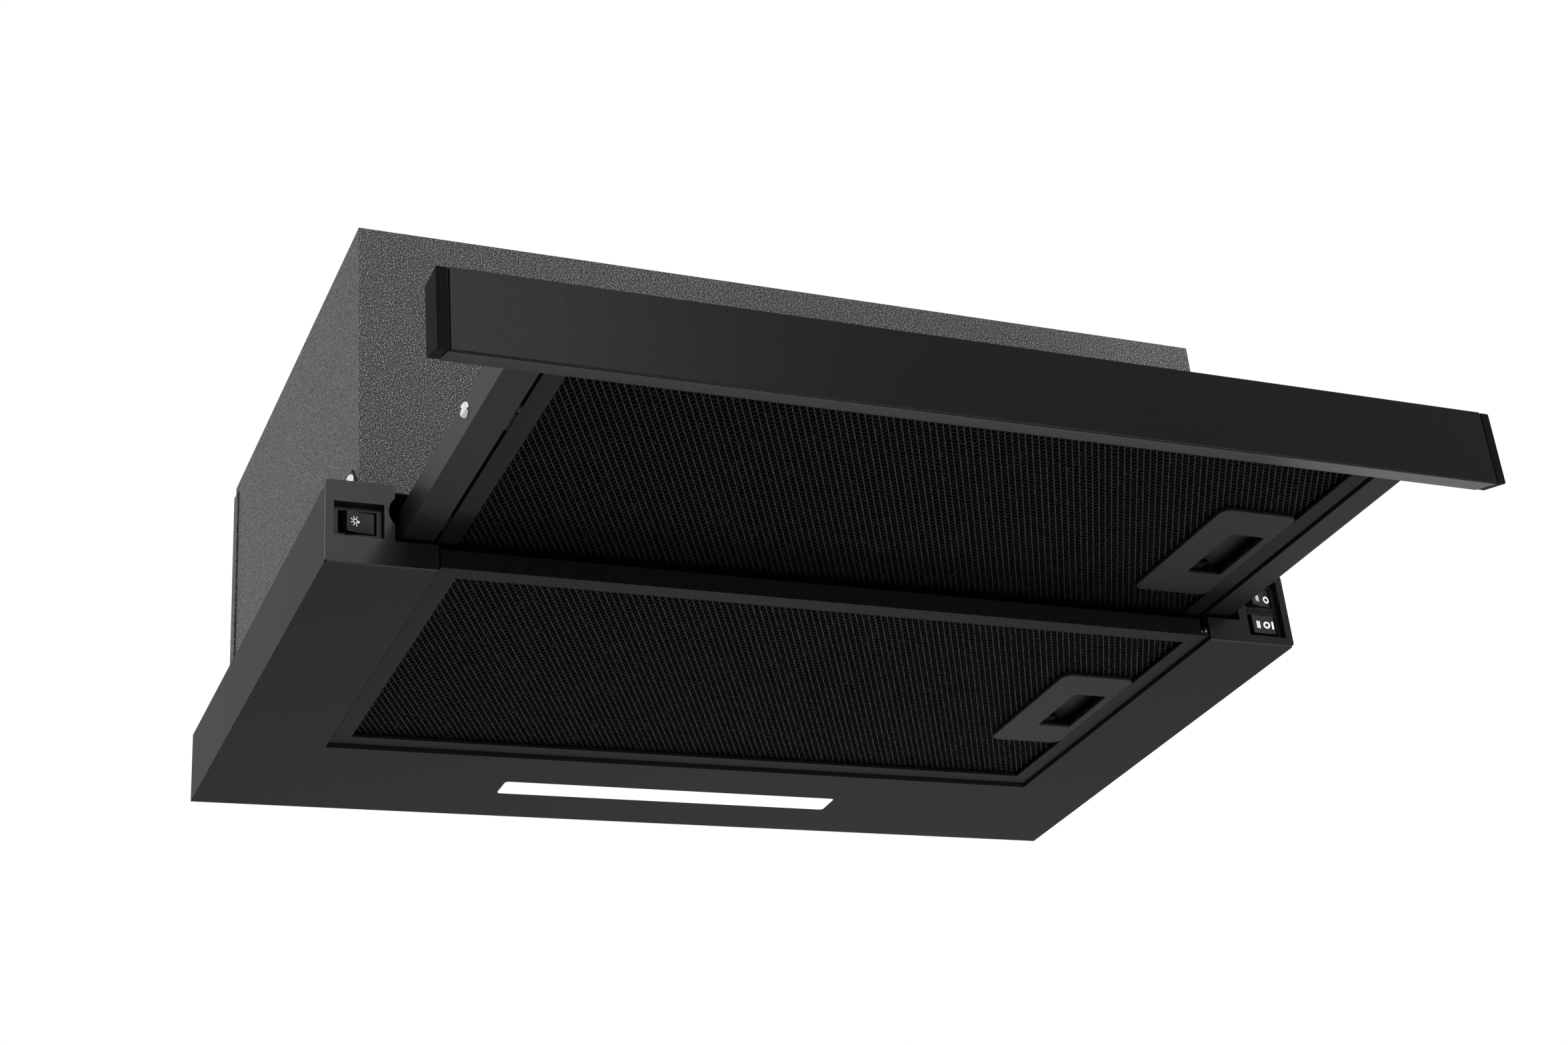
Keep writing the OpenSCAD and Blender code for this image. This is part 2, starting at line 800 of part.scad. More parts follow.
// Half of the scroll: a cheek with its inlet, and half the wall round the wheel
module scroll_half() {
    top = box_top - sheet;
    inside = wheel_w / 2 + scroll_side;
    inlet_r = wheel_r * inlet_share;
    difference() {
        union() {
            profile(0, inside) difference() {
                scroll_outline(scroll_wall, top);
                scroll_outline(0, top + over);
            }
            profile(inside, scroll_wall) scroll_outline(scroll_wall, top);
            profile(0, scroll_flange / 2) difference() {
                intersection() {
                    scroll_outline(scroll_wall + scroll_flange, top);
                    square([body_d, top - scroll_flange]);
                }
                scroll_outline(scroll_wall / 2, top + over);
            }
        }
        translate([0, wheel_y, wheel_z])
            bar_x(0, inside + scroll_wall + over, inlet_r + inlet_bell + inlet_gap);
    }
    for (i = [0:arm_count - 1]) translate([inside + scroll_wall, wheel_y, wheel_z])
        rotate([i * 360 / arm_count + 90, 0, 0]) translate([0, arm_reach, 0]) difference() {
            bar_x(-scroll_wall / 2, inlet_lip + scroll_wall / 2, grommet_r);
            bar_x(-over, inlet_lip + 2 * over, screw_hole_r);
        }
}

// Rings of the two inlets, each let into its cheek from inside up to a rim
module inlet_rings() {
    inside = wheel_w / 2 + scroll_side;
    inlet_r = wheel_r * inlet_share;
    color("#303032") in_place() both_sides() translate([0, wheel_y, wheel_z]) {
        translate([inside + scroll_wall - inlet_bell, 0, 0]) rotate([0, 90, 0])
            rotate_extrude() polygon(concat(arc(inlet_r + inlet_bell, 0, inlet_bell, 180, 90, 6),
                arc(inlet_r + inlet_bell, 0, inlet_bell - scroll_wall, 90, 180, 6)));
        difference() {
            bar_x(inside - seat - inlet_rim_t, inlet_rim_t, inlet_r + inlet_bell + inlet_rim);
            bar_x(inside - seat - inlet_rim_t - over, inlet_rim_t + 2 * over, inlet_r + scroll_wall);
        }
    }
}

module scroll_right() {
    color("#303032") in_place() scroll_half();
}

module scroll_left() {
    color("#303032") in_place() mirror([1, 0, 0]) scroll_half();
}

// Section of one blade of the wheel, curved forward
module blade_section() {
    inner = wheel_r - blade_depth;
    polygon(concat(
        [for (i = [0:4])
            let (r = inner + (blade_depth - ring_t / 2) * i / 4, a = blade_lean * pow(i / 4, 2) / 2)
            [r * cos(a), r * sin(a) + blade_t_wheel / 2]],
        [for (i = [4:-1:0])
            let (r = inner + (blade_depth - ring_t / 2) * i / 4, a = blade_lean * pow(i / 4, 2) / 2)
            [r * cos(a), r * sin(a) - blade_t_wheel / 2]]));
}

// Wheel with blades between two end rings, a middle disc and its hub
module blower_wheel() {
    half = wheel_w / 2;
    color("#8d8f92") in_place() translate([0, wheel_y, wheel_z]) difference() {
        union() {
            profile(-half + ring_t / 2, wheel_w - ring_t) for (i = [0:blade_count - 1])
                rotate([0, 0, i * 360 / blade_count]) blade_section();
            for (x = [-half, half - ring_t]) profile(x, ring_t) difference() {
                circle(r = wheel_r, $fn = 96);
                circle(r = wheel_r - blade_depth / 2, $fn = 96);
            }
            bar_x(0, hub_t, wheel_r - ring_t);
            bar_x(0, hub_len, hub_r);
        }
        bar_x(-over, hub_len + 2 * over, shaft_r);
    }
}

// Shaft, pressed into the hub and turning in the motor's bearings
module motor_shaft() {
    reach = motor_gap + motor_len + 2 * motor_cap_len + bearing_len;
    color("silver") in_place() translate([0, wheel_y, wheel_z]) bar_x(-reach, reach + hub_len, shaft_r);
}

// Motor in the left inlet: a stack of laminations between two end shields
module motor_body() {
    color("#9a9c9e") in_place() translate([-motor_gap - bearing_len, wheel_y, wheel_z]) difference() {
        union() {
            bar_x(-motor_cap_len - motor_len, motor_len, motor_r);
            bar_x(-motor_cap_len, motor_cap_len, motor_cap_r);
            bar_x(-motor_cap_len * 2 - motor_len, motor_cap_len, motor_cap_r);
            bar_x(0, bearing_len, bearing_r);
            bar_x(-motor_cap_len * 2 - motor_len - bearing_len, bearing_len, bearing_r);
        }
        bar_x(-motor_len - 2 * motor_cap_len - bearing_len - over, motor_len + 2 * motor_cap_len
            + 2 * bearing_len + 2 * over, shaft_r + shaft_play);
    }
}

arm_reach = wheel_r * inlet_share + inlet_bell + inlet_land + grommet_r;
bracket_x = wheel_w / 2 + scroll_side + scroll_wall + inlet_lip + grommet_h;
motor_end = motor_gap + 2 * bearing_len + 2 * motor_cap_len + motor_len;

// Bracket of three arms, from the motor's outer shield to the left cheek
module motor_bracket() {
    color("#b4b6b8") in_place() translate([-bracket_x, wheel_y, wheel_z]) difference() {
        union() {
            bar_x(-arm_t, arm_t, arm_hub_r);
            bar_x(-arm_t, bracket_x - motor_end + arm_t, bearing_r);
            for (i = [0:arm_count - 1]) rotate([i * 360 / arm_count + 90, 0, 0]) {
                block([-arm_t, 0, -arm_w / 2], [0, arm_reach, arm_w / 2]);
                translate([0, arm_reach, 0]) bar_x(-arm_t, arm_t, arm_w / 2);
            }
        }
        for (i = [0:arm_count - 1]) rotate([i * 360 / arm_count + 90, 0, 0]) translate([0, arm_reach, 0])
            bar_x(-arm_t - over, arm_t + 2 * over, screw_hole_r);
    }
}

// Rubber grommets between the bracket's arms and the cheek
module motor_grommets() {
    color("#151515") in_place() translate([-bracket_x, wheel_y, wheel_z])
        for (i = [0:arm_count - 1]) rotate([i * 360 / arm_count + 90, 0, 0]) translate([0, arm_reach, 0])
            difference() {
                bar_x(0, grommet_h, grommet_r);
                bar_x(-over, grommet_h + 2 * over, grommet_bore_r);
            }
}

// Screws through the bracket's arms and grommets into the cheek
module motor_screws() {
    color("silver") in_place() translate([-bracket_x - arm_t, wheel_y, wheel_z])
        for (i = [0:arm_count - 1]) rotate([i * 360 / arm_count + 90, 0, 0]) translate([0, arm_reach, 0])
            rotate([0, -90, 0]) screw(motor_screw_len);
}

// Motor capacitor, upright beside the scroll, hung from the top panel by its clip
module capacitor() {
    color("#e3e3df") in_place() translate([capacitor_x, capacitor_y, box_top - sheet - clip_t - play]) {
        translate([0, 0, -capacitor_len]) cylinder(h = capacitor_len, r = capacitor_r);
        translate([0, 0, -capacitor_len - blade_len]) for (side = [-1, 1])
            translate([side * blade_pitch / 2 - blade_t / 2, -blade_w / 2, 0])
                cube([blade_t, blade_w, blade_len]);
    }
}

// Clip round the capacitor, with its foot under the top panel
module capacitor_clip() {
    r = capacitor_r + play;
    top = box_top - sheet;
    color("#b4b6b8") in_place() translate([capacitor_x, capacitor_y, top]) {
        translate([0, 0, -clip_t]) cylinder(h = clip_t, r = r + clip_t);
        translate([0, 0, -clip_w]) difference() {
            cylinder(h = clip_w, r = r + clip_t);
            translate([0, 0, -over]) cylinder(h = clip_w + 2 * over, r = r);
        }
    }
}

// Terminal box under the top panel, open to its cover below
module terminal_box() {
    top = box_top - sheet;
    color("#d9d9d2") in_place() translate([term_x, term_y, top - term_h]) difference() {
        block([-term_w / 2, -term_d / 2, 0], [term_w / 2, term_d / 2, term_h]);
        block([-term_w / 2 + term_wall, -term_d / 2 + term_wall, -over],
            [term_w / 2 - term_wall, term_d / 2 - term_wall, term_h - term_wall]);
        cylinder(h = term_h + over, r = gland_r + play);
    }
}

module terminal_cover() {
    top = box_top - sheet;
    color("#c9c9c2") in_place() translate([term_x, term_y, top - term_h - term_cover_t]) {
        block([-term_w / 2, -term_d / 2, 0], [term_w / 2, term_d / 2, term_cover_t]);
        block([-term_w / 2 + term_wall + play, -term_d / 2 + term_wall + play, 0],
            [term_w / 2 - term_wall - play, term_d / 2 - term_wall - play, 2 * term_cover_t]);
    }
}

// Terminal strip inside the box, with a pair of screw wells for each wire
module terminal_strip() {
    top = box_top - sheet - term_wall;
    pitch = strip_w / strip_ways;
    color("#e8e6da") in_place() translate([term_x, term_y + strip_y, top - strip_h]) difference() {
        block([-strip_w / 2, -strip_d / 2, 0], [strip_w / 2, strip_d / 2, strip_h]);
        for (i = [0:strip_ways - 1], side = [-1, 1])
            translate([(i + 1 / 2) * pitch - strip_w / 2, side * strip_d / 4, -over])
                cylinder(h = strip_h / 2 + over, r = screw_hole_r);
    }
}

// Cable gland on the top panel: hexagon, dome and the thread below
module cable_gland() {
    color("#1a1a1a") in_place() translate([term_x, term_y, box_top]) difference() {
        union() {
            translate([0, 0, -gland_thread]) cylinder(h = gland_thread + over, r = gland_r);
            cylinder(h = gland_hex_h, r = gland_hex_r, $fn = 6);
            rotate_extrude() polygon(concat([[0, 0], [gland_dome_r, 0]],
                arc(gland_dome_r - 3 * gland_bore_r / 4, gland_hex_h + gland_dome_h - 3 * gland_bore_r / 4,
                    3 * gland_bore_r / 4, 0, 90, 6), [[0, gland_hex_h + gland_dome_h]]));
        }
        translate([0, 0, -gland_thread - over])
            cylinder(h = gland_thread + gland_hex_h + gland_dome_h + 2 * over, r = gland_bore_r);
    }
}

// Nut that holds the gland from inside the terminal box
module gland_nut() {
    top = box_top - sheet - term_wall;
    color("#1a1a1a") in_place() translate([term_x, term_y, top - nut_h]) difference() {
        cylinder(h = nut_h, r = gland_hex_r, $fn = 6);
        translate([0, 0, -over]) cylinder(h = nut_h + 2 * over, r = gland_r + play);
    }
}

channel_in = rail_out + channel_gap;
channel_out = rail_out + shoe_w + play + channel_t;
shoe_z = tray_z + rail_h / 2 + 2;

// Guide channels inside the body's sides, which the tray's shoes run in
module guide_channels() {
    lo = shoe_z - shoe_h / 2 - play;
    hi = shoe_z + shoe_h / 2 + play;
    color("#8b8d90") in_place() both_sides() {
        block([channel_out - channel_t, channel_y, lo - channel_t],
            [channel_out, body_d - channel_back, hi + channel_t]);
        block([channel_in, channel_y, lo - channel_t], [channel_out, body_d - channel_back, lo]);
        block([channel_in, channel_y, hi], [channel_out, body_d - channel_back, hi + channel_t]);
        for (y = [channel_y, body_d - channel_back - flange])
            block([channel_out - channel_t, y, hi], [body_w / 2 - sheet, y + flange, hi + channel_t]);
    }
}

// Slippery pads on the pods' low steps, which the tray's rails rest on
module glide_pads() {
    color("#111111") in_place() both_sides()
        block([rail_in + seat, pad_y, step_z - pod_inset], [rail_in + pad_w, pad_y + pad_d, tray_z - play]);
}

// Screws that join the tabs to the upper housing, and the collar to the top panel
module housing_screws() {
    color("silver") in_place() {
        for (side = [-1, 1]) translate([side * (box_w / 2 + sheet), tab_screw_y, tab_screw_z])
            rotate([0, side * 90, 0]) screw(screw_len);
        for (p = collar_screws()) translate([p[0], p[1], box_top + collar_flange_t]) screw(screw_len);
    }
}

// Small screw through the right pod's low step
module pod_screw() {
    color("silver") in_place() translate([pod_low - play, step_screw_y, step_screw_z]) rotate([0, -90, 0])
        screw(screw_len, step_screw_r, step_screw_h);
}

// Right-hand tray rail: a trough with a tall outer wall
module tray_rail() {
    front = fascia_back;
    back = rail_back;
    block([rail_in, front, tray_z], [rail_out, back, tray_z + sheet]);
    block([rail_out - sheet, front, tray_z], [rail_out, back, tray_z + rail_h]);
    block([rail_in, front, tray_z], [rail_in + sheet, back, tray_z + rail_lip_h]);
}

shoe_y = rail_back - shoe_d / 2 - seat;

function latch_mid(y0) = y0 + filter_d / 2;
function hinge_tab_places(y0) = [y0 + filter_d * hinge_tab_y_share, y0 + filter_d * (1 - hinge_tab_y_share)];

module tray_rail_right() {
    y = latch_mid(tray_filter_y);
    z = tray_filter_z + latch_t;
    color("#1d1d1e") in_place() difference() {
        tray_rail();
        block([rail_in - over, y - bolt_w / 2 - seat, z],
            [rail_in + sheet + over, y + bolt_w / 2 + seat, z + bolt_h + 2 * seat]);
        rail_screw_holes();
    }
}

module tray_rail_left() {
    color("#1d1d1e") in_place() difference() {
        mirror([1, 0, 0]) tray_rail();
        for (y = hinge_tab_places(tray_filter_y))
            block([-rail_in - sheet - over, y - hinge_tab_d / 2 - play, tray_z + sheet],
                [-rail_in + over, y + hinge_tab_d / 2 + play, tray_filter_z + hinge_slot_h]);
        mirror([1, 0, 0]) rail_screw_holes();
    }
}

module rail_screw_holes() {
    for (y = [rail_screw_y, shoe_y]) translate([rail_out, y, rail_screw_z]) rotate([0, 90, 0])
        screw_hole(screw_r + play);
}

// Bar behind the fascia, with a top flange over the front filter
module tray_front_bar() {
    half = rail_out - sheet - play;
    color("#1d1d1e") in_place() difference() {
        union() {
            block([-half, fascia_back, tray_z + sheet],
                [half, fascia_back + sheet, tray_z + rail_h + bar_top_h]);
            block([-half, fascia_back, tray_z + rail_h + bar_top_h - sheet],
                [half, fascia_back + bar_flange, tray_z + rail_h + bar_top_h]);
        }
        both_sides() block([rail_in - play, fascia_back - over, tray_z - over],
            [rail_in + sheet + play, fascia_back + bar_flange + over, tray_z + rail_lip_h + play]);
        both_sides() translate([bar_screw_x, fascia_back, bar_screw_z]) rotate([90, 0, 0])
            screw_hole(screw_hole_r);
    }
}

// Bar behind the front filter, between the rails
module tray_rear_bar() {
    y0 = tray_filter_y + filter_d + seat;
    half = rail_in + sheet;
    color("#1d1d1e") in_place() {
        block([-half, y0, tray_z + rail_lip_h], [half, y0 + rear_bar_d, tray_z + rail_lip_h + sheet]);
        block([-rail_in + play, y0, tray_z + sheet], [rail_in - play, y0 + sheet, tray_z + rail_lip_h]);
    }
}

// Plastic shoes at the back of the rails, which run in the guide channels
module guide_shoes() {
    color("#e2e2dc") in_place() both_sides() difference() {
        block([rail_out, shoe_y - shoe_d / 2, shoe_z - shoe_h / 2],
            [rail_out + shoe_w, shoe_y + shoe_d / 2, shoe_z + shoe_h / 2]);
        translate([rail_out - over, shoe_y, rail_screw_z]) rotate([0, 90, 0])
            cylinder(h = shoe_w + 2 * over, r = screw_r + play);
    }
}

// Screws on the rails' outer walls
module tray_screws() {
    color("silver") in_place() both_sides()
        tray_screw_set();
}

// On one rail: the screw that shows, the shoe's screw, and the one into the fascia's carrier
module tray_screw_set() {
    translate([rail_out, rail_screw_y, rail_screw_z]) rotate([0, 90, 0]) screw(screw_len);
    translate([rail_out - sheet, shoe_y, rail_screw_z]) rotate([0, -90, 0]) screw(screw_len);
    translate([bar_screw_x, fascia_back + sheet, bar_screw_z]) rotate([-90, 0, 0]) screw(screw_len);
}

// Section of the fascia, grown or shrunk evenly from its outer size
module fascia_section(inset, front_inset) {
    low_front = fascia_low + inset;
    low_back = fascia_low + fascia_slope + inset;
    polygon([[fascia_front + front_inset, low_front], [fascia_back - inset, low_back],
        [fascia_back - inset, fascia_top - inset], [fascia_front + front_inset, fascia_top - inset]]);
}

// Front skin of the fascia between its end caps
module fascia_panel() {
    half = fascia_w / 2 - cap_w - skin_groove;
    color("#181818") in_place()
        block([-half, fascia_front, fascia_low], [half, fascia_front + skin_t, fascia_top]);
}

// Hollow carrier behind the skin, with a groove along its lower front edge
module fascia_core() {
    wide = fascia_w - 2 * cap_w;
    color("#1a1a1a") in_place() difference() {
        profile(-wide / 2, wide) difference() {
            fascia_section(0, skin_t);
            fascia_section(core_wall, skin_t + core_wall);
        }
        block([-wide / 2 - over, fascia_front, fascia_low - over],
            [wide / 2 + over, fascia_front + skin_t + skin_groove, fascia_low + groove_h]);
        both_sides() translate([bar_screw_x, fascia_back, bar_screw_z]) rotate([90, 0, 0])
            screw_hole(screw_hole_r);
    }
}

// Moulded end cap of the fascia on the right, with a plug that sits in the carrier
module fascia_cap() {
    outer = fascia_w / 2;
    profile(outer - cap_w, cap_w) intersection() {
        fascia_section(0, 0);
        polygon(concat(
            arc(fascia_back - cap_r, fascia_top - cap_r, cap_r, 0, 90, 6),
            arc(fascia_front + cap_r, fascia_top - cap_r, cap_r, 90, 180, 6),
            [[fascia_front, fascia_low], [fascia_front + cap_chamfer, fascia_low],
            [fascia_back - cap_chamfer, fascia_low], [fascia_back, fascia_low + fascia_slope + cap_chamfer]]));
    }
    profile(outer - cap_w - plug_len, plug_len) difference() {
        fascia_section(core_wall + seat, skin_t + core_wall + seat);
        fascia_section(2 * core_wall + seat, skin_t + 2 * core_wall + seat);
    }
}

module fascia_cap_left() {
    color("#171717") in_place() mirror([1, 0, 0]) fascia_cap();
}

module fascia_cap_right() {
    color("#171717") in_place() fascia_cap();
}

// Frame of a grease filter with its front left foot at (y0, z0)
module filter_frame(y0, z0) {
    half = filter_w / 2;
    translate([0, y0, z0]) {
        difference() {
            union() {
                filter_ring(frame_wall, 0, filter_h);
                filter_ring(filter_border, 0, frame_wall);
                filter_ring(top_border, filter_h - frame_wall, filter_h);
                difference() {
                    filter_ring(filter_border, 0, hem_h);
                    translate([0, 0, -over]) filter_ring(filter_border - hem_w, 0, hem_h + 2 * over);
                }
            }
            block([half - corner_cut_x, -over, hem_h], [half + over, corner_cut_y, filter_h + over]);
            block([half - frame_wall - over, filter_d / 2 - bolt_w / 2 - seat, latch_t + play],
                [half + over, filter_d / 2 + bolt_w / 2 + seat, latch_t + bolt_h + 2 * seat]);
        }
        for (y = hinge_tab_places(0))
            block([-half - hinge_tab_len, y - hinge_tab_d / 2, hinge_tab_z],
                [-half + frame_wall, y + hinge_tab_d / 2, hinge_tab_z + frame_wall]);
    }
}

// A flat ring as wide as a filter, with bars of a given width
module filter_ring(bar, z0, z1) {
    half = filter_w / 2;
    difference() {
        block([-half, 0, z0], [half, filter_d, z1]);
        block([-half + bar, bar, z0 - over], [half - bar, filter_d - bar, z1 + over]);
    }
}

// Mesh of a grease filter: a sheet slit and stretched into rows of diamonds
module filter_mesh(y0, z0) {
    half = filter_w / 2 - frame_wall - seat;
    pitch_x = (filter_w - 2 * filter_border) / mesh_cols;
    pitch_y = (filter_d - 2 * filter_border) / mesh_rows;
    gap_x = pitch_x / 2 - mesh_strand;
    gap_y = pitch_y / 2 - mesh_strand * pitch_y / pitch_x;
    translate([0, y0, z0 + hem_h]) linear_extrude(mesh_t) difference() {
        translate([-half, frame_wall + seat]) square([2 * half, filter_d - 2 * frame_wall - 2 * seat]);
        intersection() {
            translate([-filter_w / 2 + filter_border, filter_border])
                square([filter_w - 2 * filter_border, filter_d - 2 * filter_border]);
            translate([-filter_w / 2 + filter_border, filter_border])
                for (i = [0:2 * mesh_cols], j = [0:2 * mesh_rows])
                if ((i + j) % 2 == 0) translate([i * pitch_x / 2, j * pitch_y / 2])
                    polygon([[-gap_x, 0], [0, -gap_y], [gap_x, 0], [0, gap_y]]);
        }
    }
}

latch_right = filter_w / 2 - filter_border;
slot_right = latch_right - latch_w * slot_side_share;
slot_left = slot_right - slot_w;
case_left = slot_left - slide_lap - bolt_travel - seat - latch_wall;
case_half = slot_d / 2 + slide_lap + play + latch_wall;

// Latch plate beside the frame's right bar, with a case over it that the bolt slides in
module latch_plate(y0, z0) {
    left = latch_right - latch_w;
    color("#1e1e1f") in_place() translate([0, y0 + filter_d / 2, z0]) difference() {
        union() {
            linear_extrude(latch_t)
                polygon(rounded(left, -latch_d / 2, latch_right, latch_d / 2, latch_corner_r));
            block([case_left, -case_half, 0], [latch_right, case_half, latch_case_h]);
        }
        translate([0, 0, -over]) linear_extrude(latch_t + 2 * over)
            polygon(rounded(slot_left, -slot_d / 2, slot_right, slot_d / 2, slot_corner_r));
        block([case_left + latch_wall, -case_half + latch_wall, latch_t],
            [latch_right + over, case_half - latch_wall, latch_case_h - latch_wall]);
    }
}

// Bolt that slides in the latch's case: a frame round the slot with a ramp for the finger
module latch_bolt(y0, z0, reach) {
    half = case_half - latch_wall - play;
    left = slot_left - slide_lap;
    color("#141414") in_place() translate([0, y0 + filter_d / 2, z0 + latch_t + play]) {
        difference() {
            block([left, -half, 0], [latch_right - seat, half, bolt_h]);
            block([slot_left, -slot_d / 2, -over], [slot_right, slot_d / 2, bolt_h + over]);
        }
        block([slot_right, -bolt_w / 2, 0], [filter_w / 2 + reach, bolt_w / 2, bolt_h]);
        translate([0, slot_d / 2 + over / 2 - hump_d, 0]) rotate([90, 0, 0])
            linear_extrude(slot_d + over - hump_d) polygon([[left, 0], [slot_left + ramp_lead, 0],
                [slot_left + ramp_w, ramp_h - ramp_t], [slot_left + ramp_w, ramp_h], [left, bolt_h]]);
        translate([0, slot_d / 2 + over / 2, 0]) rotate([90, 0, 0])
            linear_extrude(hump_d + over / 2) polygon([[left, 0], [slot_left + ramp_w, 0],
                [slot_left + ramp_w + hump_w / 2, hump_h], [slot_left + ramp_w, bolt_h], [left, bolt_h]]);
    }
}

module front_filter_frame() {
    color("#202021") in_place() translate([tray_filter_x, 0, 0]) filter_frame(tray_filter_y, tray_filter_z);
}

module rear_filter_frame() {
    color("#202021") in_place() filter_frame(filter_front, filter_rise);
}

module front_filter_mesh() {
    color("#2b2b2c") in_place() translate([tray_filter_x, 0, 0])
        mesh_round_latch(tray_filter_y, tray_filter_z);
}

module rear_filter_mesh() {
    color("#2b2b2c") in_place() mesh_round_latch(filter_front, filter_rise);
}

// Mesh over the latch plate, with the room of the latch's case cut out of it
module mesh_round_latch(y0, z0) {
    difference() {
        filter_mesh(y0, z0);
        block([case_left - seat, latch_mid(y0) - case_half - seat, z0],
            [filter_w / 2, latch_mid(y0) + case_half + seat, z0 + filter_h]);
    }
}

module front_latch_plate() {
    translate([tray_filter_x, 0, 0]) latch_plate(tray_filter_y, tray_filter_z);
}

module rear_latch_plate() {
    latch_plate(filter_front, filter_rise);
}

module front_latch_bolt() {
    translate([tray_filter_x, 0, 0])
        latch_bolt(tray_filter_y, tray_filter_z, tray_gap - tray_filter_x + sheet + bolt_gap);
}

module rear_latch_bolt() {
    latch_bolt(filter_front, filter_rise, filter_gap - bolt_gap);
}

lower_body();
upper_housing();
top_panel();
back_panel();
left_pod();
right_pod();
light_switch();
light_rocker();
speed_switch();
speed_rocker();
boost_switch();
boost_rocker();
light_lens();
light_housing();
led_board();
led_driver();
outlet_collar();
flap_pin();
front_flap();
rear_flap();
scroll_left();
scroll_right();
inlet_rings();
blower_wheel();
motor_shaft();
motor_body();
motor_bracket();
motor_grommets();
motor_screws();
capacitor();
capacitor_clip();
terminal_box();
terminal_strip();
terminal_cover();
cable_gland();
gland_nut();
guide_channels();
glide_pads();
housing_screws();
pod_screw();
tray_rail_left();
tray_rail_right();
tray_front_bar();
tray_rear_bar();
guide_shoes();
tray_screws();
fascia_panel();
fascia_core();
fascia_cap_left();
fascia_cap_right();
front_filter_frame();
front_filter_mesh();
front_latch_plate();
front_latch_bolt();
rear_filter_frame();
rear_filter_mesh();
rear_latch_plate();
rear_latch_bolt();
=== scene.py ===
import json
import math

import bmesh
import bpy
from mathutils import Matrix, Vector


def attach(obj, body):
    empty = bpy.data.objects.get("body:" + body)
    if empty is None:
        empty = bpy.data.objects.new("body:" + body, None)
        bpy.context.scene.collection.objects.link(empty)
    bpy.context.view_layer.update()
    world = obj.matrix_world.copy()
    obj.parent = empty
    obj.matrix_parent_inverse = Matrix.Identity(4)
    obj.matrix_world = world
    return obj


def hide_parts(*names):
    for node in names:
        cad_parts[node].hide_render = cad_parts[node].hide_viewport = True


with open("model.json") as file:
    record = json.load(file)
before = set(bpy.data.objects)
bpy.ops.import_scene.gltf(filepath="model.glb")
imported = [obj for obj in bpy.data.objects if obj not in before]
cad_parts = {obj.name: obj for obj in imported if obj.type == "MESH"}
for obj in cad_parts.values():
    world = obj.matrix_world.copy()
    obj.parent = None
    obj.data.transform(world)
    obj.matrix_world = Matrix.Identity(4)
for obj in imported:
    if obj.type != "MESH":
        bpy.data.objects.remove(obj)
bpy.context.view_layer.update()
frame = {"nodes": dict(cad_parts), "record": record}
nodes = frame["nodes"]
body_of_node = {
    node: body for body, held in frame["record"]["behaviour"]["bodies"].items() for node in held
}

# All sizes below are in millimetres unless they say otherwise, and MM turns them into metres
MM = 0.001
# How far the lower body's front plane lies before the middle of the whole hood
Y_MID = 56.0

# Filters: the near edge and underside of each on the hood, its shift to the side, and the size of both
FILTER_W = 396.0
FILTER_D = 205.5
BORDER = 9.4
TOP_BORDER = 6.0
HEM_H = 1.8
REAR_FILTER = (0.6, 1.5, 0.0)
FRONT_FILTER = (-163.0, 15.3, -0.5)
# Room of the latch's case above the net: its left side and half of its length
CASE_LEFT = 155.9
CASE_HALF = 26.2


def at(x, y, z):
    """A place given in millimetres from the lower body's front plane and underside."""
    return Vector((x * MM, (y - Y_MID) * MM, z * MM))


# ---- finishes


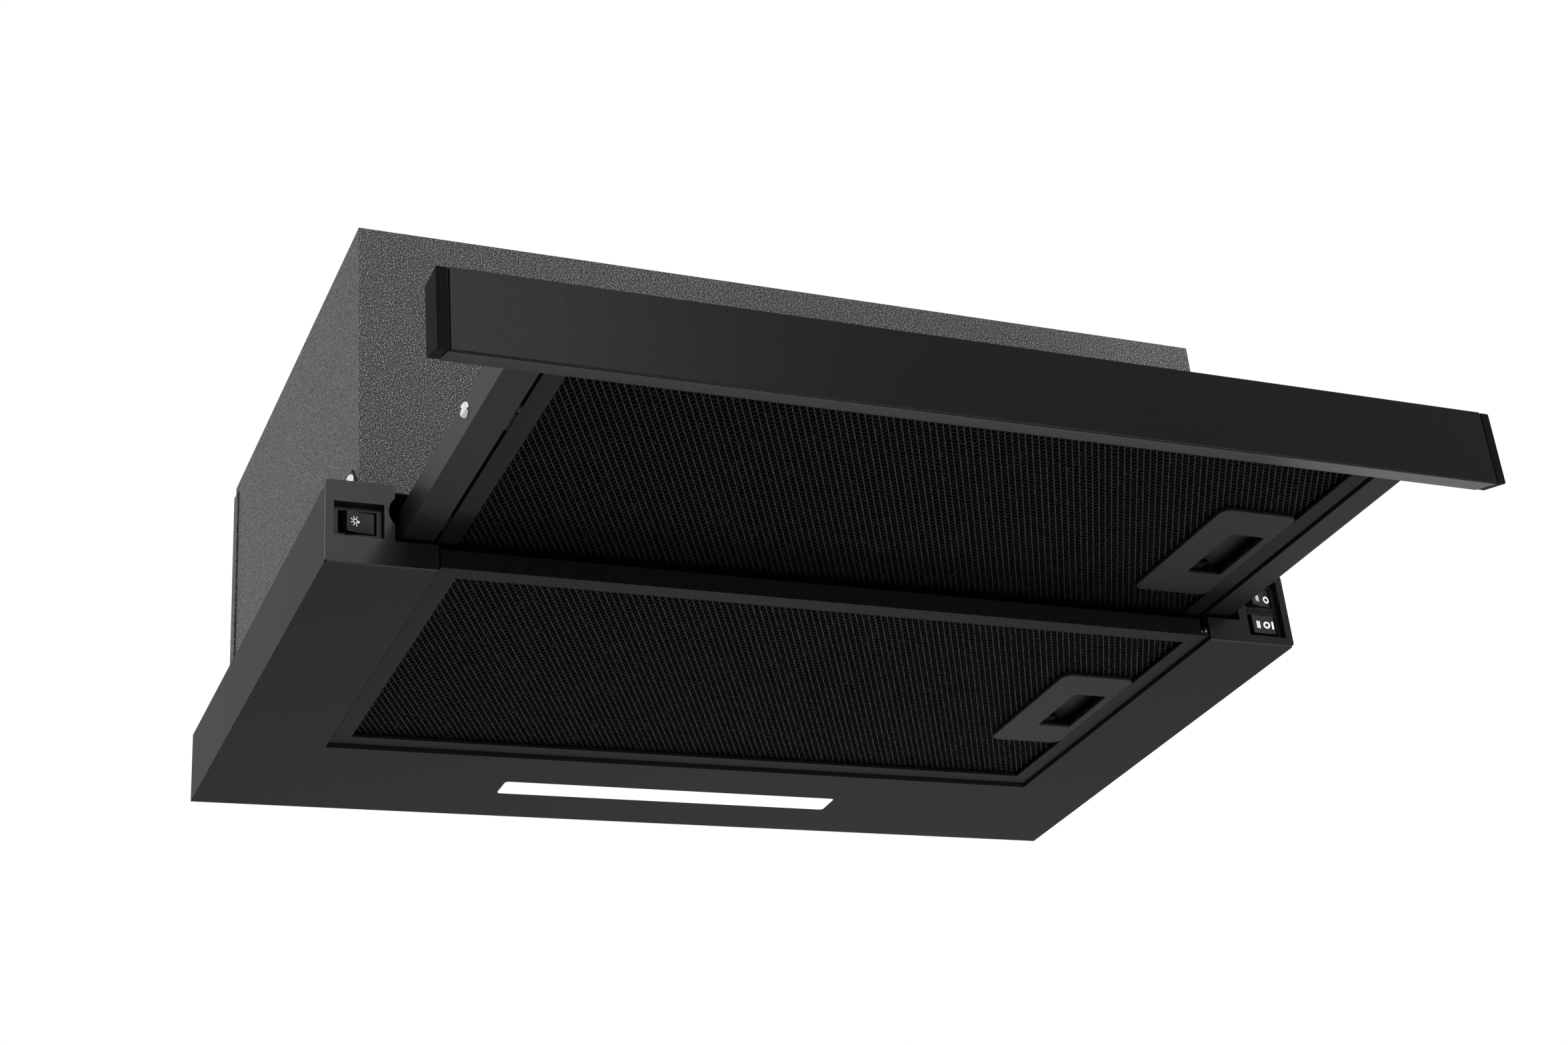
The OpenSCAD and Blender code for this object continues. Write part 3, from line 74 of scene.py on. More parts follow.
class Finish:
    """A material whose nodes are added one after another."""

    def __init__(self, name):
        self.material = bpy.data.materials.new(name)
        self.material.use_nodes = True
        self.tree = self.material.node_tree
        self.shader = self.tree.nodes["Principled BSDF"]
        self.place = self.tree.nodes.new("ShaderNodeTexCoord").outputs["Object"]

    def add(self, kind, **values):
        node = self.tree.nodes.new(kind)
        for key, value in values.items():
            if hasattr(node, key):
                setattr(node, key, value)
            else:
                node.inputs[key.replace("_", " ")].default_value = value
        return node

    def join(self, out, into):
        self.tree.links.new(out, into)

    def noise(self, scale, detail=2.0, rough=0.5, stretch=None):
        node = self.add("ShaderNodeTexNoise", Scale=scale, Detail=detail, Roughness=rough)
        if stretch:
            mapping = self.add("ShaderNodeMapping")
            mapping.inputs["Scale"].default_value = stretch
            self.join(self.place, mapping.inputs["Vector"])
            self.join(mapping.outputs["Vector"], node.inputs["Vector"])
        else:
            self.join(self.place, node.inputs["Vector"])
        return node.outputs["Fac"]

    def ramp(self, source, stops):
        node = self.add("ShaderNodeValToRGB")
        ramp = node.color_ramp
        while len(ramp.elements) < len(stops):
            ramp.elements.new(0.5)
        for element, (where, colour) in zip(ramp.elements, stops):
            element.position = where
            element.color = (*colour, 1.0) if len(colour) == 3 else (colour[0], colour[0], colour[0], 1.0)
        self.join(source, node.inputs["Fac"])
        return node.outputs["Color"]

    def span(self, source, low, high):
        node = self.add("ShaderNodeMapRange")
        node.inputs["To Min"].default_value = low
        node.inputs["To Max"].default_value = high
        self.join(source, node.inputs["Value"])
        return node.outputs["Result"]

    def grain(self, sources, distance, strength=1.0):
        """Height from several (output, share) pairs, as a bump."""
        total = None
        for out, share in sources:
            part = self.add("ShaderNodeMath", operation="MULTIPLY")
            part.inputs[1].default_value = share
            self.join(out, part.inputs[0])
            if total is None:
                total = part.outputs[0]
            else:
                both = self.add("ShaderNodeMath", operation="ADD")
                self.join(total, both.inputs[0])
                self.join(part.outputs[0], both.inputs[1])
                total = both.outputs[0]
        bump = self.add("ShaderNodeBump", Strength=strength, Distance=distance)
        self.join(total, bump.inputs["Height"])
        self.join(bump.outputs["Normal"], self.shader.inputs["Normal"])

    def set(self, **values):
        for key, value in values.items():
            self.shader.inputs[key.replace("_", " ")].default_value = value


# Sockets of a colour Mix node: its two colours, and its result
MIX_A, MIX_B, MIX_RESULT = 6, 7, 2
# A thin clear layer on top, where a finish has one, is this rough
TOP_ROUGH = 0.16
# Powder coat: how much finer its specks are than its skin, where in the noise the three tones lie, and
# how far its slow clouds darken and lighten it
SPECKS_FINER = 2.7
TONES_AT = (0.38, 0.53, 0.68)
CLOUD_SCALE = 9.0
CLOUD_SHARE = 0.25
CLOUD_TONES = [(0.3, (0.75,)), (0.7, (1.15,))]


def powder_coat(name, tones, coarse, rough, depth, gloss, shine=0.0):
    """Black powder coat: a fine orange-peel skin with lighter specks, in three greys from dark to light."""
    f = Finish(name)
    skin = f.noise(coarse, detail=3.0)
    fine = f.noise(coarse * SPECKS_FINER, detail=2.0)
    cloud = f.noise(CLOUD_SCALE, detail=2.0)
    tone = f.ramp(fine, [(where, (grey,)) for where, grey in zip(TONES_AT, tones)])
    shade = f.add("ShaderNodeMix", data_type="RGBA", blend_type="MULTIPLY")
    shade.inputs["Factor"].default_value = CLOUD_SHARE
    f.join(tone, shade.inputs[MIX_A])
    f.join(f.ramp(cloud, CLOUD_TONES), shade.inputs[MIX_B])
    f.join(shade.outputs[MIX_RESULT], f.shader.inputs["Base Color"])
    f.join(f.span(skin, rough - 0.06, rough + 0.08), f.shader.inputs["Roughness"])
    f.grain([(skin, 1.0), (fine, 0.5)], depth)
    f.set(Specular_IOR_Level=gloss, Coat_Weight=shine, Coat_Roughness=TOP_ROUGH)
    return f.material


def moulded(name, colour, rough, grain=900.0, depth=0.00002, specular=0.45, shine=0.0):
    """Moulded plastic with a fine spark-eroded skin."""
    f = Finish(name)
    skin = f.noise(grain, detail=2.0)
    cloud = f.noise(25.0)
    lighter = tuple(min(1.0, c * 1.15) for c in colour)
    darker = tuple(c * 0.88 for c in colour)
    f.join(f.ramp(cloud, [(0.3, darker), (0.7, lighter)]), f.shader.inputs["Base Color"])
    f.join(f.span(skin, rough - 0.04, rough + 0.05), f.shader.inputs["Roughness"])
    f.grain([(skin, 1.0)], depth)
    f.set(Specular_IOR_Level=specular, Coat_Weight=shine, Coat_Roughness=TOP_ROUGH)
    return f.material


def plated(name, colour, rough):
    """Bright plated steel with faint turning marks."""
    f = Finish(name)
    marks = f.noise(1400.0, detail=2.0, stretch=(1.0, 1.0, 3.0))
    f.join(f.ramp(marks, [(0.3, tuple(c * 0.9 for c in colour)), (0.7, colour)]), f.shader.inputs["Base Color"])
    f.join(f.span(marks, rough * 0.7, rough * 1.4), f.shader.inputs["Roughness"])
    f.set(Metallic=1.0)
    return f.material


def galvanised_sheet(name):
    """Zinc-coated sheet with its spangle."""
    f = Finish(name)
    spangle = f.add("ShaderNodeTexVoronoi", Scale=160.0)
    f.join(f.place, spangle.inputs["Vector"])
    f.join(f.ramp(spangle.outputs["Color"], [(0.1, (0.36, 0.37, 0.38)), (0.9, (0.62, 0.63, 0.64))]),
           f.shader.inputs["Base Color"])
    f.join(f.span(spangle.outputs["Distance"], 0.30, 0.48), f.shader.inputs["Roughness"])
    f.set(Metallic=0.9)
    return f.material


def laminated(name):
    """A motor's stack of thin laminations."""
    f = Finish(name)
    layers = f.add("ShaderNodeTexWave", Scale=320.0, Distortion=0.4)
    layers.bands_direction = "X"
    f.join(f.place, layers.inputs["Vector"])
    f.join(f.ramp(layers.outputs["Fac"], [(0.2, (0.20, 0.20, 0.21)), (0.8, (0.46, 0.47, 0.48))]),
           f.shader.inputs["Base Color"])
    f.join(f.span(layers.outputs["Fac"], 0.55, 0.35), f.shader.inputs["Roughness"])
    f.grain([(layers.outputs["Fac"], 1.0)], 0.0001)
    f.set(Metallic=0.8)
    return f.material


def opal_lens(name):
    """Opal plastic over the light, with a faint painted glow; no lamp lights it from inside."""
    f = Finish(name)
    cloud = f.noise(14.0)
    f.join(f.ramp(cloud, [(0.2, (0.93,)), (0.8, (0.98,))]), f.shader.inputs["Base Color"])
    # The emission is a painted glow: the board behind the lens gives no light
    f.set(Roughness=0.35, Emission_Strength=0.15)
    f.shader.inputs["Emission Color"].default_value = (1.0, 1.0, 1.0, 1.0)
    return f.material


def shade_painted_layered_net(name):
    """The further layers of net inside a filter, as a tangle of near-black strands whose darkness is painted
    shade.
    """
    f = Finish(name)
    strands = f.add("ShaderNodeTexVoronoi", Scale=330.0, feature="DISTANCE_TO_EDGE")
    f.join(f.place, strands.inputs["Vector"])
    # Near-black strands on a darker ground: painted shade deep inside the filter, not the net's own colour
    f.join(f.ramp(strands.outputs["Distance"], [(0.02, (0.002,)), (0.10, (0.0003,))]),
           f.shader.inputs["Base Color"])
    f.set(Roughness=0.8, Specular_IOR_Level=0.02)
    return f.material


def printed(name):
    """White print on the rockers."""
    f = Finish(name)
    f.join(f.ramp(f.noise(2500.0), [(0.3, (0.80,)), (0.7, (0.92,))]), f.shader.inputs["Base Color"])
    f.set(Roughness=0.5)
    return f.material


def studio_floor(name):
    """A pale floor that takes the shadow."""
    f = Finish(name)
    f.join(f.ramp(f.noise(3.0), [(0.3, (0.80,)), (0.7, (0.83,))]), f.shader.inputs["Base Color"])
    f.set(Roughness=0.8, Specular_IOR_Level=0.1)
    return f.material


finishes = {
    "underside": powder_coat("satin black sheet", (0.003, 0.0055, 0.013), 1500.0, 0.50, 0.00005, 0.085),
    "housing": powder_coat("speckled black sheet", (0.014, 0.066, 0.38), 560.0, 0.60, 0.00026, 0.24),
    "rail": powder_coat("tray black", (0.0035, 0.006, 0.012), 1300.0, 0.46, 0.00005, 0.15, shine=0.03),
    "fascia": powder_coat("fascia black", (0.002, 0.0035, 0.007), 1100.0, 0.31, 0.00003, 0.09),
    "frame": powder_coat("filter frame black", (0.003, 0.005, 0.009), 1500.0, 0.48, 0.00004, 0.03, shine=0.12),
    "pod": moulded("black pod plastic", (0.0055, 0.0055, 0.0057), 0.42, specular=0.11, shine=0.08),
    "cap": moulded("black cap plastic", (0.004, 0.004, 0.0041), 0.66, specular=0.04),
    "latch": moulded("latch plastic", (0.009, 0.009, 0.0092), 0.46, specular=0.12),
    "bolt": moulded("latch bolt plastic", (0.001, 0.001, 0.001), 0.55, specular=0.03),
    "case": moulded("switch case plastic", (0.005, 0.005, 0.005), 0.38, specular=0.12),
    "rocker": moulded("rocker plastic", (0.005, 0.005, 0.005), 0.34, specular=0.3),
    "scroll": moulded("blower plastic", (0.030, 0.030, 0.031), 0.48, grain=500.0, specular=0.3),
    "wheel": moulded("blower wheel plastic", (0.018, 0.018, 0.019), 0.45, grain=500.0, specular=0.3),
    "white": moulded("natural white plastic", (0.78, 0.78, 0.75), 0.45),
    "board": moulded("white board", (0.85, 0.86, 0.83), 0.35),
    "rubber": moulded("grommet rubber", (0.016, 0.016, 0.016), 0.75, grain=1200.0, specular=0.3),
    "strand": powder_coat("net strands", (0.0060, 0.010, 0.025), 2200.0, 0.42, 0.00003, 0.06),
    # Inner net strands: the same black coat as the outer strands, made about ten times darker as painted shade
    # inside the filter
    "deep strand in painted shade": powder_coat("inner net strands in painted shade", (0.0004, 0.0010, 0.0030), 2200.0, 0.55, 0.00003, 0.01),
    "layers": shade_painted_layered_net("inner net layers in painted shade"),
    "plated": plated("bright screw steel", (0.78, 0.78, 0.79), 0.18),
    "steel": plated("shaft steel", (0.62, 0.62, 0.63), 0.28),
    "zinc": galvanised_sheet("galvanised sheet"),
    "motor": laminated("motor laminations"),
    "lens": opal_lens("opal lens"),
    "print": printed("white print"),
    "floor": studio_floor("studio floor"),
}


# ---- pieces made from the CAD solids


def piece_from(mesh, name, finish, body):
    mesh.materials.clear()
    mesh.materials.append(finishes[finish])
    piece = bpy.data.objects.new(name, mesh)
    bpy.context.scene.collection.objects.link(piece)
    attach(piece, body)
    return piece


def baked(thing):
    """The thing's mesh with its modifiers worked in, and the modifiers gone."""
    bpy.context.view_layer.update()
    graph = bpy.context.evaluated_depsgraph_get()
    mesh = bpy.data.meshes.new_from_object(thing.evaluated_get(graph))
    bpy.data.objects.remove(thing)
    return mesh


# Edges that turn by more than this many degrees are broken, in so many steps
EASED_ANGLE = 32.0
EASED_STEPS = 2
# Facets that turn by less than this many degrees are one flat face, and corners this close (in metres) are one
FLAT_ANGLE = 0.4
SAME_PLACE = 2e-6


def eased(node, radius, finish):
    """A copy of a CAD solid whose edges are broken by a small radius."""
    mesh = nodes[node].data.copy()
    work = bmesh.new()
    work.from_mesh(mesh)
    bmesh.ops.remove_doubles(work, verts=work.verts, dist=SAME_PLACE)
    bmesh.ops.dissolve_limit(work, angle_limit=math.radians(FLAT_ANGLE), verts=work.verts, edges=work.edges)
    for face in work.faces:
        face.smooth = True
    work.to_mesh(mesh)
    work.free()
    thing = bpy.data.objects.new("eased", mesh)
    bpy.context.scene.collection.objects.link(thing)
    bevel = thing.modifiers.new("Edges", "BEVEL")
    bevel.width = radius * MM
    bevel.segments = EASED_STEPS
    bevel.limit_method = "ANGLE"
    bevel.angle_limit = math.radians(EASED_ANGLE)
    weight = thing.modifiers.new("Normals", "WEIGHTED_NORMAL")
    weight.keep_sharp = True
    piece = piece_from(baked(thing), node + "_piece", finish, body_of_node[node])
    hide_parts(node)
    return piece


# Each eased solid: the radius of its edges, and its finish
EASED = {
    "lower_body": (0.28, "underside"), "upper_housing": (0.30, "housing"), "top_panel": (0.28, "housing"),
    "back_panel": (0.28, "housing"), "left_pod": (0.85, "pod"), "right_pod": (0.85, "pod"),
    "light_switch": (0.25, "case"), "speed_switch": (0.25, "case"), "boost_switch": (0.25, "case"),
    "light_rocker": (0.35, "rocker"), "speed_rocker": (0.35, "rocker"), "boost_rocker": (0.35, "rocker"),
    "light_lens": (0.2, "lens"),
    "outlet_collar": (0.35, "pod"), "front_flap": (0.25, "scroll"), "rear_flap": (0.25, "scroll"),
    "cable_gland": (0.3, "pod"), "glide_pads": (0.4, "cap"),
    "tray_rail_left": (0.25, "rail"), "tray_rail_right": (0.25, "rail"),
    "tray_front_bar": (0.25, "rail"), "tray_rear_bar": (0.25, "rail"),
    "fascia_panel": (0.35, "fascia"), "fascia_core": (0.35, "fascia"),
    "fascia_cap_left": (0.6, "cap"), "fascia_cap_right": (0.6, "cap"),
    "front_filter_frame": (0.4, "frame"), "rear_filter_frame": (0.4, "frame"),
    "front_latch_plate": (0.35, "latch"), "rear_latch_plate": (0.35, "latch"),
    "front_latch_bolt": (0.3, "bolt"), "rear_latch_bolt": (0.3, "bolt"),
}
for node, (radius, finish) in EASED.items():
    eased(node, radius, finish)

# Solids that keep their own mesh, with their finish
PLAIN = {
    "light_housing": "white", "led_board": "board", "led_driver": "white", "flap_pin": "steel",
    "scroll_left": "scroll", "scroll_right": "scroll", "inlet_rings": "scroll",
    "blower_wheel": "wheel", "motor_shaft": "steel",
    "motor_body": "motor", "motor_bracket": "zinc", "motor_grommets": "rubber",
    "capacitor": "white", "capacitor_clip": "zinc", "terminal_box": "white", "terminal_strip": "board",
    "terminal_cover": "white", "gland_nut": "pod", "guide_channels": "zinc", "guide_shoes": "white",
    "pod_screw": "plated", "housing_screws": "plated", "tray_screws": "plated", "motor_screws": "plated",
}
for node, finish in PLAIN.items():
    nodes[node].data.materials.clear()
    nodes[node].data.materials.append(finishes[finish])


# ---- geometry node trees


# Sockets of a Random Value node that gives plain numbers: least, most, and the result
RANDOM_LEAST, RANDOM_MOST, RANDOM_RESULT = 2, 3, 1


class Tree:
    """A geometry node tree with named inputs."""

    def __init__(self, name, inputs):
        self.group = bpy.data.node_groups.new(name, "GeometryNodeTree")
        face = self.group.interface
        face.new_socket("Geometry", in_out="INPUT", socket_type="NodeSocketGeometry")
        kinds = {float: "NodeSocketFloat", int: "NodeSocketInt"}
        for label, value in inputs.items():
            socket = face.new_socket(label, in_out="INPUT", socket_type=kinds[type(value)])
            socket.default_value = value
        face.new_socket("Geometry", in_out="OUTPUT", socket_type="NodeSocketGeometry")
        self.into = self.group.nodes.new("NodeGroupInput")
        self.out = self.group.nodes.new("NodeGroupOutput")

    def given(self, label):
        return self.into.outputs[label]

    def add(self, kind, **settings):
        node = self.group.nodes.new(kind)
        for key, value in settings.items():
            setattr(node, key, value)
        return node

    def feed(self, node, which, source):
        socket = node.inputs[which]
        if isinstance(source, bpy.types.NodeSocket):
            self.group.links.new(source, socket)
        else:
            socket.default_value = source

    def calc(self, operation, a, b=None):
        node = self.add("ShaderNodeMath", operation=operation)
        self.feed(node, 0, a)
        if b is not None:
            self.feed(node, 1, b)
        return node.outputs[0]

    def vector(self, x=0.0, y=0.0, z=0.0):
        node = self.add("ShaderNodeCombineXYZ")
        for which, value in enumerate((x, y, z)):
            self.feed(node, which, value)
        return node.outputs[0]

    def finish(self, geometry, finish):
        real = self.add("GeometryNodeRealizeInstances")
        self.feed(real, 0, geometry)
        coat = self.add("GeometryNodeSetMaterial")
        self.feed(coat, "Geometry", real.outputs[0])
        coat.inputs["Material"].default_value = finish
        self.group.links.new(coat.outputs[0], self.out.inputs[0])
        return self.group


def grown(tree, values):
    """The plain mesh that a tree gives for these input values."""
    thing = bpy.data.objects.new("grown", bpy.data.meshes.new("start"))
    bpy.context.scene.collection.objects.link(thing)
    modifier = thing.modifiers.new("Tree", "NODES")
    modifier.node_group = tree
    for item in tree.interface.items_tree:
        if item.in_out == "INPUT" and item.name in values:
            modifier[item.identifier] = values[item.name]
    return baked(thing)


# Expanded metal: from one knot to the next across the hood, and from front to back
PITCH_ACROSS = 3.33
PITCH_ALONG = 6.0


def stretched_net(name, finish):
    """Expanded metal: on a centred lattice, a short strand from each knot to the next one beside it."""
    t = Tree(name, {
        "Pitch Across": 0.003, "Pitch Along": 0.006, "Columns": 10, "Rows": 10,
        "Middle X": 0.0, "Middle Y": 0.0, "Height": 0.0, "Side": 1.0,
        "Strand Width": 0.0009, "Strand Thickness": 0.0004, "Lap": 1.08,
        "Twist": 0.0, "Waver": 0.0, "Share": 1.0, "Seed": 1,
        "Gap Left": 0.0, "Gap Right": 0.0, "Gap Near": 0.0, "Gap Far": 0.0,
    })
    half_x = t.calc("MULTIPLY", t.given("Pitch Across"), 0.5)
    half_y = t.calc("MULTIPLY", t.given("Pitch Along"), 0.5)
    knots = t.add("GeometryNodeMeshGrid")
    t.feed(knots, "Size X", t.calc("MULTIPLY", t.given("Pitch Across"),
                                   t.calc("SUBTRACT", t.given("Columns"), 1.0)))
    t.feed(knots, "Size Y", t.calc("MULTIPLY", half_y, t.calc("SUBTRACT", t.given("Rows"), 1.0)))
    t.feed(knots, "Vertices X", t.given("Columns"))
    t.feed(knots, "Vertices Y", t.given("Rows"))
    here = t.add("ShaderNodeSeparateXYZ")
    t.feed(here, 0, t.add("GeometryNodeInputPosition").outputs[0])
    row = t.calc("ROUND", t.calc("ADD", t.calc("DIVIDE", here.outputs[1], half_y),
                                 t.calc("MULTIPLY", t.calc("SUBTRACT", t.given("Rows"), 1.0), 0.5)))
    odd = t.calc("MULTIPLY", t.calc("MODULO", row, 2.0), half_x)
    lean_x = t.calc("MULTIPLY", t.calc("MULTIPLY", half_x, 0.5), t.given("Side"))
    centred = t.add("GeometryNodeSetPosition")
    t.feed(centred, "Geometry", knots.outputs[0])
    t.feed(centred, "Offset", t.vector(
        t.calc("ADD", t.calc("ADD", odd, lean_x), t.given("Middle X")),
        t.calc("ADD", t.calc("MULTIPLY", half_y, 0.5), t.given("Middle Y")), t.given("Height")))

    strand = t.add("GeometryNodeMeshCube")
    run = t.calc("SQRT", t.calc("ADD", t.calc("MULTIPLY", half_x, half_x), t.calc("MULTIPLY", half_y, half_y)))
    t.feed(strand, "Size", t.vector(t.given("Strand Width"), t.calc("MULTIPLY", run, t.given("Lap")),
                                    t.given("Strand Thickness")))

    def shaken(offset):
        shake = t.add("FunctionNodeRandomValue", data_type="FLOAT")
        t.feed(shake, RANDOM_LEAST, -1.0)
        t.feed(shake, RANDOM_MOST, 1.0)
        t.feed(shake, "Seed", t.calc("ADD", t.given("Seed"), offset))
        return t.calc("MULTIPLY", shake.outputs[RANDOM_RESULT], t.given("Waver"))

    lean = t.calc("MULTIPLY", t.calc("ARCTAN2", half_x, half_y), t.calc("MULTIPLY", t.given("Side"), -1.0))
    turn = t.vector(shaken(1.0), t.calc("ADD", t.given("Twist"), shaken(2.0)),
                    t.calc("ADD", lean, t.calc("MULTIPLY", shaken(3.0), 0.4)))
    where = t.add("ShaderNodeSeparateXYZ")
    t.feed(where, 0, t.add("GeometryNodeInputPosition").outputs[0])
    in_gap = t.calc("MULTIPLY",
                    t.calc("MULTIPLY", t.calc("GREATER_THAN", where.outputs[0], t.given("Gap Left")),
                           t.calc("LESS_THAN", where.outputs[0], t.given("Gap Right"))),
                    t.calc("MULTIPLY", t.calc("GREATER_THAN", where.outputs[1], t.given("Gap Near")),
                           t.calc("LESS_THAN", where.outputs[1], t.given("Gap Far"))))
    pick = t.add("FunctionNodeRandomValue", data_type="FLOAT")
    t.feed(pick, "Seed", t.calc("ADD", t.given("Seed"), 7.0))
    kept = t.calc("MULTIPLY", t.calc("LESS_THAN", pick.outputs[RANDOM_RESULT], t.given("Share")),
                  t.calc("SUBTRACT", 1.0, in_gap))
    spread = t.add("GeometryNodeInstanceOnPoints")
    t.feed(spread, "Points", centred.outputs[0])
    t.feed(spread, "Selection", kept)
    t.feed(spread, "Instance", strand.outputs[0])
    t.feed(spread, "Rotation", turn)
    return t.finish(spread.outputs[0], finish)


# How far a net runs in over its border on both sides together, and how far it stays off the latch's case
NET_LAP = 1.0
NET_OFF_CASE_X = 1.2
NET_OFF_CASE_Y = 1.7


def net(tree, place, lift, border, side, width, thick, twist, waver, shift=(0.0, 0.0), share=1.0, seed=1):
    """One family of strands of a filter's net, between borders of this width and round the latch's case."""
    near, bottom, aside = place
    inner_w = FILTER_W - 2 * border + NET_LAP
    inner_d = FILTER_D - 2 * border + NET_LAP
    columns = int(inner_w / PITCH_ACROSS)
    rows = int(inner_d / (PITCH_ALONG / 2))
    middle = near + FILTER_D / 2
    centre = at(aside - PITCH_ACROSS / 4 + shift[0], middle - PITCH_ALONG / 4 + shift[1], bottom + lift)
    low = at(CASE_LEFT + aside - NET_OFF_CASE_X, middle - CASE_HALF - NET_OFF_CASE_Y, 0)
    high = at(FILTER_W, middle + CASE_HALF + NET_OFF_CASE_Y, 0)
    return grown(tree, {
        "Pitch Across": PITCH_ACROSS * MM, "Pitch Along": PITCH_ALONG * MM, "Columns": columns, "Rows": rows,
        "Middle X": centre.x, "Middle Y": centre.y, "Height": centre.z, "Side": float(side),
        "Strand Width": width * MM, "Strand Thickness": thick * MM,
        "Twist": math.radians(twist), "Waver": math.radians(waver), "Share": share, "Seed": seed,
        "Gap Left": low.x, "Gap Right": high.x, "Gap Near": low.y, "Gap Far": high.y,
    })


def own(mesh, name, body, node=None):
    """A finished mesh as a piece of the hood."""
    piece = bpy.data.objects.new(name, mesh)
    bpy.context.scene.collection.objects.link(piece)
    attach(piece, body)
    if node:
        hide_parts(node)
    return piece


# The sheet of inner layers: off the frame, off the latch's case, and how many cuts each of its fields gets;
# then, in metres, the height of its waves, their turns across and along, and its thickness
LAYERS_OFF_FRAME = 1.2
LAYERS_OFF_CASE = 0.4
LAYERS_CUTS = 24
WAVE_HEIGHT = 0.00015
WAVE_TURNS_X = 700.0
WAVE_TURNS_Y = 900.0
LAYERS_THICK = 0.0006


def sheet_of_layers(place, lift, name, body):
    """The innermost layers of a filter's net, as one thin wavy sheet round the latch's room."""
    near, bottom, aside = place
    half = FILTER_W / 2 - LAYERS_OFF_FRAME
    middle = near + FILTER_D / 2
    stops_x = [aside - half, aside + CASE_LEFT - LAYERS_OFF_CASE, aside + half]
    stops_y = [middle - FILTER_D / 2 + LAYERS_OFF_FRAME, middle - CASE_HALF - LAYERS_OFF_CASE,
               middle + CASE_HALF + LAYERS_OFF_CASE, middle + FILTER_D / 2 - LAYERS_OFF_FRAME]
    work = bmesh.new()
    for i in range(2):
        for j in range(3):
            if i == 1 and j == 1:
                continue
            corners = [(stops_x[i], stops_y[j]), (stops_x[i + 1], stops_y[j]),
                       (stops_x[i + 1], stops_y[j + 1]), (stops_x[i], stops_y[j + 1])]
            work.faces.new([work.verts.new(at(x, y, bottom + lift)) for x, y in corners])
    bmesh.ops.remove_doubles(work, verts=work.verts, dist=1e-6)
    bmesh.ops.subdivide_edges(work, edges=work.edges, cuts=LAYERS_CUTS, use_grid_fill=True)
    for vert in work.verts:
        vert.co.z += WAVE_HEIGHT * math.sin(vert.co.x * WAVE_TURNS_X) * math.cos(vert.co.y * WAVE_TURNS_Y)
    rim = bmesh.ops.extrude_face_region(work, geom=work.faces[:])
    for vert in rim["geom"]:
        if isinstance(vert, bmesh.types.BMVert):
            vert.co.z += LAYERS_THICK
    bmesh.ops.recalc_face_normals(work, faces=work.faces)
    mesh = bpy.data.meshes.new(name)
    work.to_mesh(mesh)
    work.free()
    return piece_from(mesh, name, "layers", body)


# Each layer's lift is counted from the top of the hem; the strands' sizes are width and thickness, and their
# twist and waver are in degrees
net_tree = stretched_net("Outer net", finishes["strand"])
# This tree's strands carry the darkened coat, as painted shade deep in the net
painted_shade_net_tree = stretched_net("Inner net in painted shade", finishes["deep strand in painted shade"])

for body, node, place, label in (
    ("tray", "front_filter_mesh", FRONT_FILTER, "front"),
    ("rear_filter", "rear_filter_mesh", REAR_FILTER, "rear"),
):
    own(net(net_tree, place, HEM_H + 0.5, BORDER, 1, 0.58, 0.35, 6.0, 2.0, seed=3), label + "_net", body, node)
    own(net(net_tree, place, HEM_H + 0.36, BORDER, -1, 0.25, 0.26, 4.0, 14.0, seed=4),
        label + "_net_cross", body)
    # The second layer of strands is drawn in a darkened copy of the strands' coat, as painted shade inside the
    # filter
    own(net(painted_shade_net_tree, place, HEM_H + 1.7, BORDER, -1, 0.6, 0.35, -20.0, 9.0, (0.9, 1.3), 0.25, seed=8),
        label + "_net_second_painted_shade", body)
    own(net(net_tree, place, HEM_H + 1.5, BORDER, 1, 0.38, 0.3, 20.0, 30.0, (1.2, 0.4), 0.06, seed=11),
        label + "_net_glints", body)
    # The sheet of inner layers is nearly black as painted shade
    sheet_of_layers(place, HEM_H + 3.0, label + "_net_layers_painted_shade", body)
for side, lift, name in ((1, 5.75, "front_net_top"), (-1, 5.55, "front_net_top_cross")):
    own(net(net_tree, FRONT_FILTER, HEM_H + lift, TOP_BORDER, side, 0.9, 0.35, 0.0, 3.0, seed=5), name, "tray")


# ---- printed signs on the rockers

# The light's and the boost rocker rest tipped by this angle
TIP = math.radians(14.0)
ROCKER_AXIS_Y = 7.3
# The print lies this far in front of the face
PRINT_LIFT = 0.03
# A rocker's face: half of its width, and how far its ends and its hollow middle stand before the axis
HALF = 6.6
ENDS = 5.4
HOLLOW = 4.7
# Rockers: how far off the middle of the hood all three lie, and the height of each
WINDOW_X = 234.2
LIGHT_Z = 20.9
BOOST_Z = 27.55
SPEED_Z = 11.85
# The ring that stands for off
OFF_RADIUS = 1.95
OFF_WIDTH = 0.95


def facet(x, z, tip, side):
    """One half of a rocker's face, as a function from (along, up) to a place."""
    start = Vector((0.0, -HOLLOW))
    end = Vector((HALF * side, -ENDS))
    run = (end - start).normalized()
    out = Vector((run.y, -run.x)) * side
    turn = Matrix.Rotation(tip, 2)

    def place(along, up, lift=PRINT_LIFT):
        flat = turn @ (start + run * along * side + out * lift)
        return at(x + flat.x, ROCKER_AXIS_Y + flat.y, z + up)

    return place


def ring(radius, width, steps=28):
    """The faces of a flat ring of this outer radius."""
    outer = [(radius * math.cos(2 * math.pi * k / steps), radius * math.sin(2 * math.pi * k / steps))
             for k in range(steps)]
    inner = [(x * (radius - width) / radius, y * (radius - width) / radius) for x, y in outer]
    return [[outer[k], outer[(k + 1) % steps], inner[(k + 1) % steps], inner[k]] for k in range(steps)]


def bar(x0, y0, x1, y1):
    """The one face of a straight stroke."""
    return [[(x0, y0), (x1, y0), (x1, y1), (x0, y1)]]


